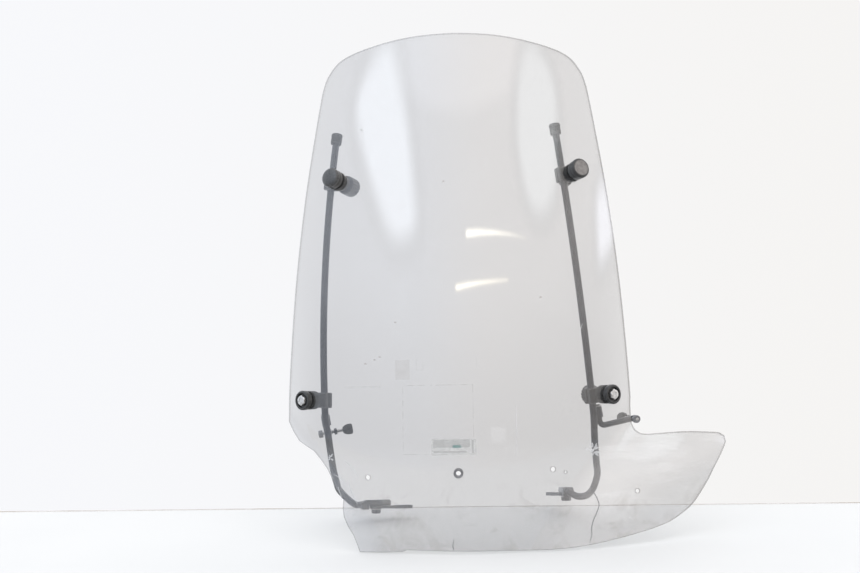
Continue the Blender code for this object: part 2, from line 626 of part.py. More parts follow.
def build_bracket(side, carrier):
    _, swing = BRACKETS[side]
    frame = bracket_frame(side)
    profile = ((BODY_BACK, BODY_LOW), (BODY_STEP, BODY_LOW), (BODY_STEP, TOUCH), (BODY_FRONT, TOUCH),
               (BODY_FRONT, BODY_HIGH - 0.0016), (BODY_FRONT - 0.0020, BODY_HIGH),
               (BODY_BACK + 0.0065, BODY_HIGH), (BODY_BACK, BODY_HIGH - 0.0040))
    lay = Matrix.Rotation(pi / 2, 4, "X")
    verts, faces = prism(profile, -BODY_HALF_WIDTH, BODY_HALF_WIDTH)
    verts = [lay @ Vector(v) for v in verts]
    body = add_object(side + "_bracket_body", verts, faces, "black_steel", frame, carrier, smooth=False)
    soften(body, 0.0010)
    end_x, end_z = ROD_IN_BODY
    bore = swept([(end_x + 0.0006, 0, end_z), (BODY_BACK - 0.01, 0, end_z)], ROD_RADIUS + BORE_GAP, 16)
    cut(body, add_object(side + "_bracket_rod_cutter", *bore, "black_steel", frame))
    tapped = BOLT_RADIUS + BORE_GAP
    thread = turned(((0, -0.01), (tapped, -0.01), (tapped, 0.0072), (0, 0.0072)), 12)
    cut(body, add_object(side + "_bracket_bolt_cutter", *thread, "black_steel", frame))

    turn = add_empty(side + "_fixing_plate_swing", frame @ Matrix.Rotation(swing, 4, "Z"), carrier)
    place = turn.matrix_world.copy()
    pad, pad_from = PLATE_PAD
    plate = add_object(side + "_fixing_plate", *prism(plate_outline(), -PLATE - pad, pad), "black_steel", place,
                       turn, smooth=False)
    wide = PLATE_RADIUS + BORE_GAP
    pivot_end = [(-wide, -wide), (pad_from, -wide), (pad_from, wide), (-wide, wide)]
    for low, high in ((0, 0.01), (-0.01 - PLATE, -PLATE)):
        cut(plate, add_object(side + "_plate_step_cutter", *prism(pivot_end, low, high), "black_steel", place))
    for spot, radius in ((0, tapped), (PLATE_LENGTH, PLATE_HOLE)):
        hole = turned(((0, -0.01), (radius, -0.01), (radius, 0.01), (0, 0.01)), 16)
        at = place @ shifted(spot, 0, 0)
        cut(plate, add_object(side + "_fixing_plate_cutter", *hole, "black_steel", at))
    under = -PLATE - TOUCH
    washer = ((tapped, under - WASHER), (0.0078, under - WASHER), (0.0078, under), (tapped, under))
    add_object(side + "_pivot_washer", *turned(washer, 16, closed=True), "zinc", frame, carrier)
    head = under - WASHER - TOUCH
    hex_side = ("hex", HEX_FLAT)
    bolt = ((0, head - HEAD_HEIGHT), (hex_side, head - HEAD_HEIGHT), (hex_side, head), (BOLT_RADIUS, head),
            (BOLT_RADIUS, 0.0068), (0, 0.0068))
    add_object(side + "_pivot_bolt", *turned(bolt, 12), "black_steel", frame, carrier)


# ---- Small pieces on the sheet ---------------------------------------------------------------------------
def build_grommet():
    (u, v), hole = CENTRE_HOLE
    frame = axes_at(bent(u, v), front_normal(u, v), (0, 0, 1))
    groove, flange, bore = hole - BORE_GAP, 0.0066, 0.0034
    low, high = -SHEET - SEAT, TOUCH
    profile = ((bore, low - 0.0016), (flange, low - 0.0016), (flange, low), (groove, low), (groove, high),
               (flange, high), (flange, high + 0.0012), (flange - 0.0006, high + 0.0016), (bore, high + 0.0016))
    add_object("centre_grommet", *turned(profile, 16, closed=True), "grey_rubber", frame)


def build_label():
    """A thin film just in front of the sheet, bent as the sheet is."""
    columns, rows, film = 6, 2, 0.0003
    verts, faces = [], []
    for layer in (TOUCH + film, TOUCH):
        for row in range(rows + 1):
            for column in range(columns + 1):
                u = LABEL_LOW[0] + (LABEL_HIGH[0] - LABEL_LOW[0]) * column / columns
                v = LABEL_LOW[1] + (LABEL_HIGH[1] - LABEL_LOW[1]) * row / rows
                verts.append(bent(u, v) + front_normal(u, v) * layer)
    wide = columns + 1
    back = wide * (rows + 1)
    for row in range(rows):
        for column in range(columns):
            a = row * wide + column
            faces.append((a, a + 1, a + wide + 1, a + wide))
            faces.append((back + a, back + a + wide, back + a + wide + 1, back + a + 1))
    rim = list(range(columns)) + [columns + wide * r for r in range(rows)]
    rim += [wide * rows + columns - c for c in range(columns)] + [wide * (rows - r) for r in range(rows)]
    for a, b in zip(rim, rim[1:] + rim[:1]):
        faces.append((b, a, a + back, b + back))
    add_object("info_label", verts, faces, "label_film")


def main():
    clear_scene()
    build_sheet()
    build_grommet()
    build_label()
    for name in CLAMPS:
        build_clamp(name)
    for side in ("left", "right"):
        carrier = build_rod(side)
        build_stay(side, carrier)
        build_bracket(side, carrier)


main()
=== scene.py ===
"""Looks of the scooter windshield screen: the CAD frame with finer pieces, materials, floor, lights and camera.

Metres, +Z up, the road on the -Y side. The sheet's shape, the rods' arcs and the pieces' frames are those of the CAD.
A point of the sheet is given flat, as u (sideways) and v (up from its foot).
"""

import json
import random
from math import cos, pi, radians, sin

import bpy
from mathutils import Matrix, Vector, geometry

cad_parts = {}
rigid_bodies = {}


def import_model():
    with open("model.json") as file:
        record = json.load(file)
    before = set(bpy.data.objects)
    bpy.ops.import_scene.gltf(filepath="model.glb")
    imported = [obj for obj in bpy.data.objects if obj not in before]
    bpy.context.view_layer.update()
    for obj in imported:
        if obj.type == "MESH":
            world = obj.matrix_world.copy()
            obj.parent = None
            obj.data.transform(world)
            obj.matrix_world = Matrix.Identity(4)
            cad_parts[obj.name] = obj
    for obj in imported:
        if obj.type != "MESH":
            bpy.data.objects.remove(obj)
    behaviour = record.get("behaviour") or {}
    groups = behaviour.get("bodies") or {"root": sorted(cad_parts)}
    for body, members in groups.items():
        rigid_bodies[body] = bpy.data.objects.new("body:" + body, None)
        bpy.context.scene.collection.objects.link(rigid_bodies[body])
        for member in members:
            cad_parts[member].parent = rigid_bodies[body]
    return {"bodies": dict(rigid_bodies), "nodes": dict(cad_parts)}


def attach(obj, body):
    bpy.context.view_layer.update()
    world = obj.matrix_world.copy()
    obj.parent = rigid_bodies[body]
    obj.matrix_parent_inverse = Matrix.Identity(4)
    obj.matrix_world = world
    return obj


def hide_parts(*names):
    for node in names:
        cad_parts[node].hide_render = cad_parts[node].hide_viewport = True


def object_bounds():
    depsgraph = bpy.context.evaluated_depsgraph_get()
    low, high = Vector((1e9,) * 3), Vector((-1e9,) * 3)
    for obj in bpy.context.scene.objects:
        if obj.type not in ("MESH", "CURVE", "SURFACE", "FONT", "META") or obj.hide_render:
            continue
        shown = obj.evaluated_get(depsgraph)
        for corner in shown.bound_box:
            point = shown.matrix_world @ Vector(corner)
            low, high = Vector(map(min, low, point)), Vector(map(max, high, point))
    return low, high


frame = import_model()
cad_low, cad_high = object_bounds()
random.seed(7)

# ---- The sheet, as in the CAD ----
SHEET = 0.003
BEND_RADIUS = 0.36
CAMBER_RADIUS = 1.80
FOOT_LEAN = radians(2.2)
VALLEY_U = 0.25
VALLEY_V = 0.16
VALLEY_SLOPE = 0.90
VALLEY_WIDTH = (0.12, 0.06)
FLARE = (radians(18), radians(34))
BEND_STEPS = 16
SIDE_TOP = (0.1962, 0.702)
TOP_EDGE = ((0.0, 0.7425), (0.064, 0.7405), (0.118, 0.7352), (0.159, 0.7285), (0.1808, 0.7192), SIDE_TOP)
SIDE_EDGE = (SIDE_TOP, (0.2045, 0.68), (0.218, 0.608), (0.2355, 0.508), (0.252, 0.387), (0.263, 0.274),
    (0.268, 0.208))
INNER_CORNER = ((0.268, 0.208), (0.265, 0.178), (0.264, 0.169), (0.2665, 0.16), (0.273, 0.1545),
    (0.2825, 0.153))
WING_EDGE = ((0.2825, 0.153), (0.334, 0.155), (0.37, 0.1535), (0.397, 0.1508), (0.404, 0.146),
    (0.4048, 0.138), (0.399, 0.128), (0.379, 0.1), (0.367, 0.0805), (0.3455, 0.052),
    (0.327, 0.0385), (0.297, 0.0255), (0.247, 0.0155), (0.178, 0.005), (0.126, 0.001),
    (0.06, 0.002), (0.0, 0.003), (-0.072, 0.004))
BROKEN_EDGE = ((-0.0785, 0.0015), (-0.109, 0.0), (-0.1385, 0.0), (-0.1424, 0.009), (-0.148, 0.0215),
    (-0.157, 0.034), (-0.1632, 0.0465), (-0.1655, 0.058), (-0.1652, 0.071), (-0.173, 0.079),
    (-0.1805, 0.0885), (-0.1868, 0.102), (-0.1932, 0.1118), (-0.203, 0.123), (-0.2172, 0.1365),
    (-0.228, 0.142), (-0.2425, 0.15), (-0.2545, 0.1635), (-0.265, 0.178))
CENTRE_HOLE = ((0.0, 0.109), 0.005)
PLAIN_HOLES = (((-0.128, 0.102), 0.0034), ((0.132, 0.11), 0.0034), ((0.151, 0.105), 0.0018),
    ((0.253, 0.0745), 0.003))
BOLT_HOLE_RADIUS = 0.0044
LABEL_LOW = (-0.0365, 0.1335)
LABEL_HIGH = (0.025, 0.156)
LABEL_BARS = (("panel", (-0.0335, 0.144), (0.016, 0.1545)), ("bar", (-0.033, 0.1368), (0.011, 0.1392)),
    ("side", (0.0185, 0.136), (0.0212, 0.154)))

# ---- Fine sheet ----
FINE_GRID = 0.009
FINE_RIM = 0.006
EDGE_ROUND = 0.0006
HOLE_SIDES = 28
CRACKS = (((0.191, 0.075), (0.1945, 0.067), (0.196, 0.057), (0.1905, 0.045), (0.184, 0.032),
    (0.1822, 0.018), (0.179, 0.0085)),
    ((-0.0085, 0.0055), (-0.0095, 0.012), (-0.0078, 0.02)))
SCRATCHES = (((-0.1745, 0.087), (-0.17, 0.077), (-0.167, 0.069)),
    ((-0.156, 0.098), (-0.1545, 0.084), (-0.149, 0.072), (-0.144, 0.064)),
    ((-0.181, 0.104), (-0.172, 0.0995), (-0.164, 0.093)),
    ((-0.165, 0.125), (-0.152, 0.115), (-0.142, 0.101)),
    ((0.08, 0.202), (0.0806, 0.164), (0.0798, 0.127)),
    ((0.183, 0.313), (0.179, 0.305), (0.1775, 0.295)))
# Flat marks: low corner, high corner, and the width of the line or of the soft edge.
GLUE_OUTLINES = (((-0.076, 0.134), (0.022, 0.229), 0.0014), ((-0.163, 0.2262), (-0.107, 0.2284), 0.0009),
    ((-0.056, 0.249), (-0.046, 0.264), 0.0008))
TAN_PATCH = ((-0.085, 0.237), (-0.066, 0.263), 0.0012)
RUBBED_PATCH = ((0.048, 0.152), (0.062, 0.168), 0.005)
DOTS = ((-0.131, 0.259), (-0.117, 0.264), (-0.1095, 0.268), (-0.086, 0.315), (-0.016, 0.512),
    (0.118, 0.348), (-0.137, 0.602))
DOT_SIZE = (0.0022, 0.0016)
# The wing's streaks: worn bumps and haze, and whitish streaks that are painted reflections.
WING_STREAK_TURN = radians(40)  # how the wing's wiped streaks run
BASE_HAZE = 0.012
# centre, count, longest, spread, turn of the fan
STRESS_MARKS = {
    "right_stress_mark": ((0.197, 0.133), 13, 0.01, 0.019, 0.3),
    "left_stress_mark": ((-0.189, 0.128), 7, 0.0062, 0.008, 1.2),
}

# ---- Rods and clamps, as in the CAD ----
ROD_RADIUS = 0.005
BORE_GAP = 0.0004
ROD_ARCS = {
    "left": ((-0.196, 0.533, 0.0145), (-0.211, 0.37, 0.0178), (-0.2182, 0.2095, 0.025)),
    "right": ((0.1677, 0.5387, 0.018), (0.1928, 0.37, 0.0215), (0.214, 0.212, 0.025)),
}
ROD_ABOVE = {"left": 0.073, "right": 0.0715}
ROD_BELOW = 0.028
ROD_FEET = {
    "left": ((-0.1868, 0.0995, 0.147), (-0.1843, 0.104, 0.1195), (-0.1822, 0.1135, 0.093),
        (-0.1803, 0.132, 0.07), (-0.1785, 0.15, 0.054), (-0.1668, 0.171, 0.0335),
        (-0.141, 0.187, 0.0225)),
    "right": ((0.192, 0.1115, 0.131), (0.1955, 0.131, 0.0965), (0.1978, 0.147, 0.0726),
        (0.1918, 0.159, 0.0488), (0.1825, 0.167, 0.0375), (0.17, 0.172, 0.0355),
        (0.1575, 0.195, 0.0362)),
}
ARC_STEP = 0.03
FOOT_STEP = 0.008
ROD_STRAIGHT = (0.017, 0.0105)
CLAMP_HALF_DEPTH = 0.0072
CUP_RADIUS = 0.0137
CUP_HEIGHT = 0.008
CUP_FLOOR = 0.0043
BUSH_RADIUS = 0.013
KNOB_RADIUS = 0.0138
KNOB_COLLAR = (0.0056, 0.004)
BOLT_RADIUS = 0.004
HEX_FLAT = 0.0065
HEAD_HEIGHT = 0.0053
CAP_RADIUS = 0.0142
CAP_TOP = 0.0155
TOUCH = 0.0003
SEAT = 0.0009
CLAMPS = {
    "upper_left": (-0.1786, 0.533, 0.046),
    "upper_right": (0.1791, 0.5387, 0.0345),
    "lower_left": (-0.2321, 0.2095, 0.0),
    "lower_right": (0.2276, 0.212, 0.049),
}
BAR_RADIUS = 0.0042
BAR_BEND = 0.0075
BAR_REACH = 0.057
LEG_TOP = 0.0108
LEG_DROP = 0.02
SLEEVE_BORE = 0.0046
SLEEVE_RADIUS = 0.0064
SLEEVE_HEIGHT = 0.015
SLEEVE_BELOW = {"left": 0.03, "right": 0.0275}
SLEEVE_OFFSET = {"left": (0.001, 0.0136), "right": (0.0072, 0.0112)}
SLEEVE_UP = {"left": (-0.16, 0.12, 0.98), "right": (-0.16, 0.06, 0.985)}
SCREW_AT = 0.0505
SCREW_RADIUS = 0.0024
STAYS = {"left": (radians(94), -1), "right": (radians(22), 1)}
ROD_IN_BODY = (-0.0125, 0.0016)
PLATE = 0.0041
WASHER = 0.0016
BRACKET_TILT = radians(-12)
BRACKETS = {"left": radians(14), "right": radians(97)}

# ---- Stage ----
CAMERA_TURN = (2.49, 4.644, -1.249)  # azimuth, elevation, roll in degrees
CAMERA_TARGET = (-0.0352, 0.0525, 0.2496)
CAMERA_DISTANCE = 1.82
CAMERA_LENS = 55.38
FLOOR_BACK = ((-6.0, 0.266), (6.0, 0.245))  # the floor's far edge, left and right
FLOOR_FRONT = -6.0
FLOOR_GAP = 0.0006
# height of the strip that paints the shadow in the gap at the floor's far edge
SEAM_SHADOW_HEIGHT = 0.0013
CARD_DISTANCE = 3.2
CARD_TARGET = Vector((0.0, 0.05, 0.25))


# ---- Node helpers ----
class Nodes:
    """Short ways to make the nodes of one tree."""

    def __init__(self, tree):
        self.tree = tree
        tree.nodes.clear()

    def add(self, kind, sockets=None, **settings):
        made = self.tree.nodes.new("ShaderNode" + kind)
        for key, value in settings.items():
            setattr(made, key, value)
        for socket, value in (sockets or {}).items():
            self.put(value, made.inputs[socket])
        return made

    def put(self, value, socket):
        """Links a node's first output or a socket, or sets a plain value."""
        if isinstance(value, bpy.types.Node):
            value = value.outputs[0]
        if isinstance(value, bpy.types.NodeSocket):
            self.tree.links.new(value, socket)
        else:
            socket.default_value = value

    def math(self, operation, a, b=0.0):
        return self.add("Math", {0: a, 1: b}, operation=operation).outputs[0]

    def plus(self, first, *others):
        for other in others:
            first = self.math("ADD", first, other)
        return first

    def times(self, first, *others):
        for other in others:
            first = self.math("MULTIPLY", first, other)
        return first

    def where(self):
        return self.add("TexCoord").outputs["Object"]

    def stretched(self, where, scale, turn=0.0):
        return self.add("Mapping", {"Vector": where, "Rotation": (0, 0, turn), "Scale": scale}).outputs[0]

    def mix_shader(self, factor, a, b):
        return self.add("MixShader", {0: factor, 1: a, 2: b})

    def principled(self, colour, roughness, normal, **more):
        facts = {"Base Color": colour, "Roughness": roughness, "Normal": normal}
        facts.update({key.replace("_", " "): value for key, value in more.items()})
        return self.add("BsdfPrincipled", facts)

    def ramp(self, value, low, high, start=0.0, end=1.0):
        """The value mapped from low..high to start..end, eased and held at the ends."""
        return self.add("MapRange", {0: value, 1: low, 2: high, 3: start, 4: end},
            interpolation_type="SMOOTHSTEP").outputs[0]

    def noise(self, where, scale, detail=3.0, rough=0.55, distortion=0.0):
        return self.add("TexNoise", {"Vector": where, "Scale": scale, "Detail": detail, "Roughness": rough,
            "Distortion": distortion}).outputs["Fac"]

    def mix_colour(self, factor, a, b):
        return self.add("Mix", {0: factor, 6: a, 7: b}, data_type="RGBA").outputs[2]

    def bump(self, height, strength, distance):
        return self.add("Bump", {"Strength": strength, "Distance": distance, "Height": height}).outputs[0]

    def finish(self, shader, kind="OutputMaterial"):
        self.add(kind, {0: shader})


def new_material(name):
    made = bpy.data.materials.new(name)
    made.use_nodes = True
    return made, Nodes(made.node_tree)


def grey(value, tint=(1.0, 1.0, 1.0)):
    return (value * tint[0], value * tint[1], value * tint[2], 1.0)


# ---- Materials ----
def painted(name, colour, worn, roughness, metallic=0.0, grain=900.0, bump=0.00004, wear_at=(0.62, 0.72),
        specular=0.22):
    """A moulded or painted surface with fine grain, dull patches, dust and small worn spots."""
    made, n = new_material(name)
    where = n.where()
    patches = n.noise(where, 60.0, 4.0, 0.6)
    dust = n.noise(where, 260.0, 6.0, 0.7)
    fine = n.noise(where, grain, 2.0, 0.5)
    spots = n.ramp(n.noise(where, 140.0, 8.0, 0.75, 0.4), *wear_at)
    base = n.mix_colour(n.ramp(patches, 0.35, 0.7), colour, grey(1.0, tuple(c * 1.7 for c in colour[:3])))
    dusty = n.mix_colour(n.times(n.ramp(dust, 0.5, 0.8), 0.30), base, worn)
    final = n.mix_colour(n.times(spots, 0.75), dusty, worn)
    rough = n.ramp(n.plus(n.times(patches, 0.6), n.times(fine, 0.4)), 0.3, 0.7,
        roughness - 0.09, roughness + 0.12)
    height = n.plus(fine, n.times(dust, 0.6))
    n.finish(n.principled(final, rough, n.bump(height, 0.5, bump), Metallic=metallic, Specular_IOR_Level=specular))
    return made


def faded_cap(name):
    """A black cap whose flat top is painted lighter grey-brown inside a dark ring: a painted reflection of the light on
    its flat face.
    """
    made, n = new_material(name)
    where = n.where()
    flat = n.add("VectorMath", {0: where, 1: (1.0, 1.0, 0.0)}, operation="MULTIPLY").outputs[0]
    radius = n.add("VectorMath", {0: flat}, operation="LENGTH").outputs["Value"]
    cloud = n.noise(where, 150.0, 5.0, 0.65)
    # painted reflection: the flat top is lighter grey-brown, as if it caught the light; the cloud only varies it
    top = n.mix_colour(n.ramp(cloud, 0.3, 0.7), grey(0.085, (1.10, 1.0, 0.95)), grey(0.175, (1.06, 1.0, 0.96)))
    colour = n.mix_colour(n.ramp(radius, 0.0102, 0.012), top, grey(0.016))
    fine = n.bump(n.noise(where, 900.0, 3.0), 0.4, 0.00004)
    n.finish(n.principled(colour, n.ramp(cloud, 0.3, 0.7, 0.34, 0.55), fine, Specular_IOR_Level=0.42))
    return made


def plated(name):
    """Zinc-plated steel: bright with brushed turning marks and grey bloom."""
    made, n = new_material(name)
    where = n.where()
    bloom = n.noise(where, 320.0, 6.0, 0.65)
    stretched = n.stretched(where, (1.0, 1.0, 14.0))
    lines = n.noise(stretched, 700.0, 3.0, 0.6)
    colour = n.mix_colour(n.ramp(bloom, 0.4, 0.68), grey(0.50, (1.0, 0.99, 0.98)), grey(0.32, (1.0, 0.98, 0.95)))
    rough = n.ramp(bloom, 0.3, 0.75, 0.42, 0.62)
    n.finish(n.principled(colour, rough, n.bump(lines, 0.35, 0.00003), Metallic=1.0))
    return made


def band(n, value, low, high, soft):
    """1 where the value is between low and high."""
    return n.times(n.ramp(value, low - soft, low), n.ramp(value, high + soft, high))


def patch(n, u, v, low, high, soft):
    return n.times(band(n, u, low[0], high[0], soft), band(n, v, low[1], high[1], soft))


def outline(n, u, v, low, high, width):
    """1 along the edge of a rectangle."""
    inner = patch(n, u, v, (low[0] + width, low[1] + width), (high[0] - width, high[1] - width), 0.0003)
    return n.math("SUBTRACT", patch(n, u, v, low, high, 0.0003), inner)


def largest(n, values):
    found = values[0]
    for value in values[1:]:
        found = n.math("MAXIMUM", found, value)
    return found


def acrylic_marks(n, u, v, where):
    """How much whitish haze and how much brownish stain the surface carries. The haze also holds painted reflections: a
    veil low on the sheet and whitish streaks on the wing.
    """
    lines = n.noise(n.stretched(where, (1.0, 0.22, 1.0), 0.5), 34.0, 5.0, 0.6, 1.4)
    hair = n.ramp(n.math("ABSOLUTE", n.math("SUBTRACT", lines, 0.5)), 0.0022, 0.0004)
    broken = n.ramp(n.noise(where, 22.0, 3.0), 0.52, 0.62)
    hair = n.times(hair, broken)
    smears = n.ramp(n.noise(where, 9.0, 5.0, 0.62, 0.8), 0.45, 0.85)
    cells = n.add("TexVoronoi", {"Vector": where, "Scale": 95.0}).outputs["Distance"]
    specks = n.times(n.ramp(cells, 0.055, 0.02), n.ramp(n.noise(where, 40.0, 2.0), 0.56, 0.60))
    # painted reflection: a whitish veil that thickens from v 0.155 down to v 0.105, standing in for the floor mirrored
    # in the lower sheet
    low_veil_painted_reflection = n.ramp(v, 0.155, 0.105)
    glue = largest(n, [outline(n, u, v, *facts) for facts in GLUE_OUTLINES])
    glue = n.times(glue, n.ramp(n.noise(where, 120.0, 3.0), 0.38, 0.62))
    tan = patch(n, u, v, *TAN_PATCH)
    tan = n.times(tan, n.ramp(n.noise(where, 70.0, 2.0), 0.25, 0.75, 0.55, 1.0))
    rub = patch(n, u, v, *RUBBED_PATCH)
    dots = largest(n, [patch(n, u, v, (a, b), (a + DOT_SIZE[0], b + DOT_SIZE[1]), 0.0006) for a, b in DOTS])
    # whitish diagonal streaks on the wing: worn haze, and painted reflections standing in for the wing's streaky
    # highlights
    wing_wear_and_painted_streaks = n.ramp(n.noise(n.stretched(where, (1.0, 5.5, 1.0), WING_STREAK_TURN), 9.0, 4.0, 0.55, 0.3), 0.46, 0.72)
    wing_wear_and_painted_streaks = n.times(wing_wear_and_painted_streaks, n.times(n.ramp(u, 0.15, 0.215), n.ramp(v, 0.185, 0.15)))
    grime = n.times(n.ramp(n.noise(where, 24.0, 5.0, 0.6, 0.6), 0.50, 0.70), n.ramp(v, 0.11, 0.05))
    # dust, scratches and rubbing, plus the painted reflections low on the sheet and on the wing
    haze_and_painted_reflection = n.plus(n.times(smears, 0.02), n.times(wing_wear_and_painted_streaks, 0.085), n.times(hair, 0.16), n.times(specks, 0.22),
        n.times(low_veil_painted_reflection, 0.042), n.times(rub, 0.05))
    stain = n.plus(n.times(glue, 0.095), n.times(tan, 0.13), n.times(dots, 0.40), n.times(grime, 0.15))
    return haze_and_painted_reflection, stain


def acrylic():
    """Light smoked clear acrylic. Each of its two faces lets light through, tints it and mirrors a little."""
    made, n = new_material("smoked_acrylic")
    flat = n.add("UVMap", uv_map="flat").outputs[0]
    split = n.add("SeparateXYZ", {0: flat})
    haze_and_painted_reflection, stain = acrylic_marks(n, split, split.outputs[1], flat)
    facing = n.add("LayerWeight", {"Blend": 0.5}).outputs["Facing"]
    mirror = n.plus(n.times(n.math("POWER", facing, 4.6), 0.62), 0.06)
    worn_wing = n.times(n.ramp(split, 0.185, 0.24), n.ramp(split.outputs[1], 0.185, 0.15))
    rough = n.plus(n.ramp(haze_and_painted_reflection, 0.0, 0.1, 0.045, 0.11), n.times(worn_wing, 0.11))
    streaks = n.noise(n.stretched(flat, (1.0, 4.2, 1.0), WING_STREAK_TURN), 7.0, 3.0, 0.5, 0.3)
    streaks = n.times(streaks, worn_wing, 1.6)
    wavy = n.bump(n.plus(n.noise(flat, 5.0, 2.0, 0.4), streaks), 0.13, 0.004)
    glossy = n.add("BsdfGlossy", {"Color": grey(1.0), "Normal": wavy, "Roughness": rough})
    tint = n.mix_colour(n.ramp(facing, 0.35, 0.95), grey(0.805, (1.002, 0.999, 1.0)), grey(0.69, (1.0, 1.0, 1.0)))
    shade = n.add("LightPath").outputs["Is Shadow Ray"]
    tint = n.mix_colour(shade, tint, grey(0.955))
    clear = n.add("BsdfTransparent", {"Color": tint})
    dust = n.add("BsdfDiffuse", {"Color": grey(0.86)})
    brown = n.add("BsdfDiffuse", {"Color": grey(0.34, (1.0, 0.93, 0.84))})
    # the whitish diffuse layer carries dust and scratches, and the painted reflections low on the sheet and on the wing
    body = n.mix_shader(n.plus(haze_and_painted_reflection, BASE_HAZE), clear, dust)
    n.finish(n.mix_shader(mirror, n.mix_shader(stain, body, brown), glossy))
    return made


def acrylic_edge():
    """The cut rim of the sheet, where light gathers and the tint is dense."""
    made, n = new_material("acrylic_cut_edge")
    where = n.where()
    saw = n.stretched(where, (1.0, 1.0, 3.0))
    marks = n.noise(saw, 380.0, 5.0, 0.6)
    split = n.add("SeparateXYZ", {0: where})
    warm = n.ramp(split, -0.05, 0.22)
    dark = n.mix_colour(warm, grey(0.30, (0.96, 1.0, 1.06)), grey(0.17, (1.15, 1.0, 0.84)))
    colour = n.mix_colour(n.ramp(marks, 0.42, 0.72), dark, grey(0.36))
    solid = n.principled(colour, n.ramp(marks, 0.3, 0.7, 0.2, 0.5), n.bump(marks, 0.5, 0.0001))
    clear = n.add("BsdfTransparent", {"Color": grey(0.72)})
    share = n.plus(n.ramp(marks, 0.3, 0.75, 0.08, 0.34), n.times(warm, 0.26))
    n.finish(n.mix_shader(share, clear, solid))
    return made


def seen_through(name, colour, share, scale, roughness=0.5):
    """A thin translucent surface, such as the blank label or a crazed spot inside the acrylic."""
    made, n = new_material(name)
    where = n.where()
    cloud = n.noise(where, scale, 5.0, 0.65)
    tone = n.mix_colour(n.ramp(cloud, 0.35, 0.7), colour, grey(0.9, tuple(c * 0.8 for c in colour[:3])))
    rough = n.ramp(cloud, 0.3, 0.7, roughness - 0.15, roughness + 0.2)
    solid = n.principled(tone, rough, n.bump(cloud, 0.4, 0.0001))
    clear = n.add("BsdfTransparent", {"Color": grey(0.97)})
    factor = n.ramp(cloud, 0.35, 0.65, share * 0.75, min(1.0, share * 1.2))
    n.finish(n.mix_shader(factor, clear, solid))
    return made


def floor_material():
    made, n = new_material("studio_floor")
    where = n.where()
    cloud = n.noise(where, 2.2, 4.0, 0.5)
    colour = n.mix_colour(n.ramp(cloud, 0.3, 0.7), grey(0.466, (0.998, 1.0, 0.988)), grey(0.48, (1.0, 1.0, 0.985)))
    rough_paint = n.bump(n.noise(where, 90.0, 4.0), 0.1, 0.0006)
    n.finish(n.principled(colour, 0.75, rough_paint, Specular_IOR_Level=0.15))
    return made


MATERIALS = {
    "acrylic": acrylic(),
    "edge": acrylic_edge(),
    "black_plastic": painted("moulded_black_plastic", grey(0.012), grey(0.07, (1.0, 1.0, 1.02)), 0.34, specular=0.42),
    "domed_cap": painted("glossy_black_cap", grey(0.026, (0.97, 1.0, 1.03)), grey(0.10), 0.27, specular=0.5),
    "faded_cap": faded_cap("black_cap_painted_top_highlight"),
    "black_steel": painted("painted_black_steel", grey(0.017, (0.88, 1.0, 1.35)), grey(0.10, (1.0, 0.95, 0.9)), 0.32,
        metallic=0.1, grain=420.0, bump=0.00006, wear_at=(0.68, 0.78)),
    "zinc": plated("zinc_plate"),
    "black_rubber": painted("black_rubber", grey(0.018), grey(0.10, (1.0, 0.99, 0.97)), 0.66, grain=1400.0,
        bump=0.00008, specular=0.2),
    "grey_rubber": painted("grey_rubber", grey(0.11, (1.0, 1.0, 1.04)), grey(0.30), 0.62, grain=1400.0,
        bump=0.00008, specular=0.3),
    "label": seen_through("blank_label_film", (0.56, 0.57, 0.55, 1), 0.20, 240.0),
    "label_grey": seen_through("blank_label_grey", (0.46, 0.47, 0.46, 1), 0.14, 420.0),
    "label_mark": seen_through("blank_label_block", (0.12, 0.30, 0.28, 1), 0.40, 420.0),
    "crazed": seen_through("crazed_acrylic", (0.90, 0.91, 0.92, 1), 0.42, 900.0, 0.3),
    "scratch": seen_through("scratched_acrylic", (0.92, 0.93, 0.94, 1), 0.62, 700.0),
    "crack": seen_through("cracked_acrylic", (0.10, 0.10, 0.11, 1), 0.78, 800.0, 0.3),
}


# ---- Mesh helpers ----
def smoothstep(t):
    t = min(max(t, 0.0), 1.0)
    return t * t * (3 - 2 * t)


def mix(pair, t):
    return pair[0] + (pair[1] - pair[0]) * t


def shifted(x, y, z):
    return Matrix.Translation((x, y, z))


def axes_at(origin, z_axis, y_axis):
    z_axis = Vector(z_axis).normalized()
    y_axis = Vector(y_axis)
    y_axis = (y_axis - z_axis * y_axis.dot(z_axis)).normalized()
    turn = Matrix((y_axis.cross(z_axis), y_axis, z_axis)).transposed()
    return Matrix.Translation(origin) @ turn.to_4x4()


def new_mesh(name, verts, faces, *materials):
    mesh = bpy.data.meshes.new(name)
    mesh.from_pydata([tuple(v) for v in verts], [], faces)
    for material in materials:
        mesh.materials.append(material)
    return mesh


def new_object(name, data):
    made = bpy.data.objects.new(name, data)
    bpy.context.scene.collection.objects.link(made)
    return made


def make(name, verts, faces, surface, body, node=None, place=None, slot=None, sharp=32):
    """One shown piece: it rides on a body, and stands for a CAD node if one is named. Its material is its surface's;
    the slot argument is not used.
    """
    mesh = new_mesh(name, verts, faces, MATERIALS[surface])
    mesh.update()
    mesh.shade_smooth()
    mesh.set_sharp_from_angle(angle=radians(sharp))
    obj = new_object(name, mesh)
    if place is not None:
        obj.matrix_world = place
    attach(obj, body)
    if node:
        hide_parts(node)
    return obj


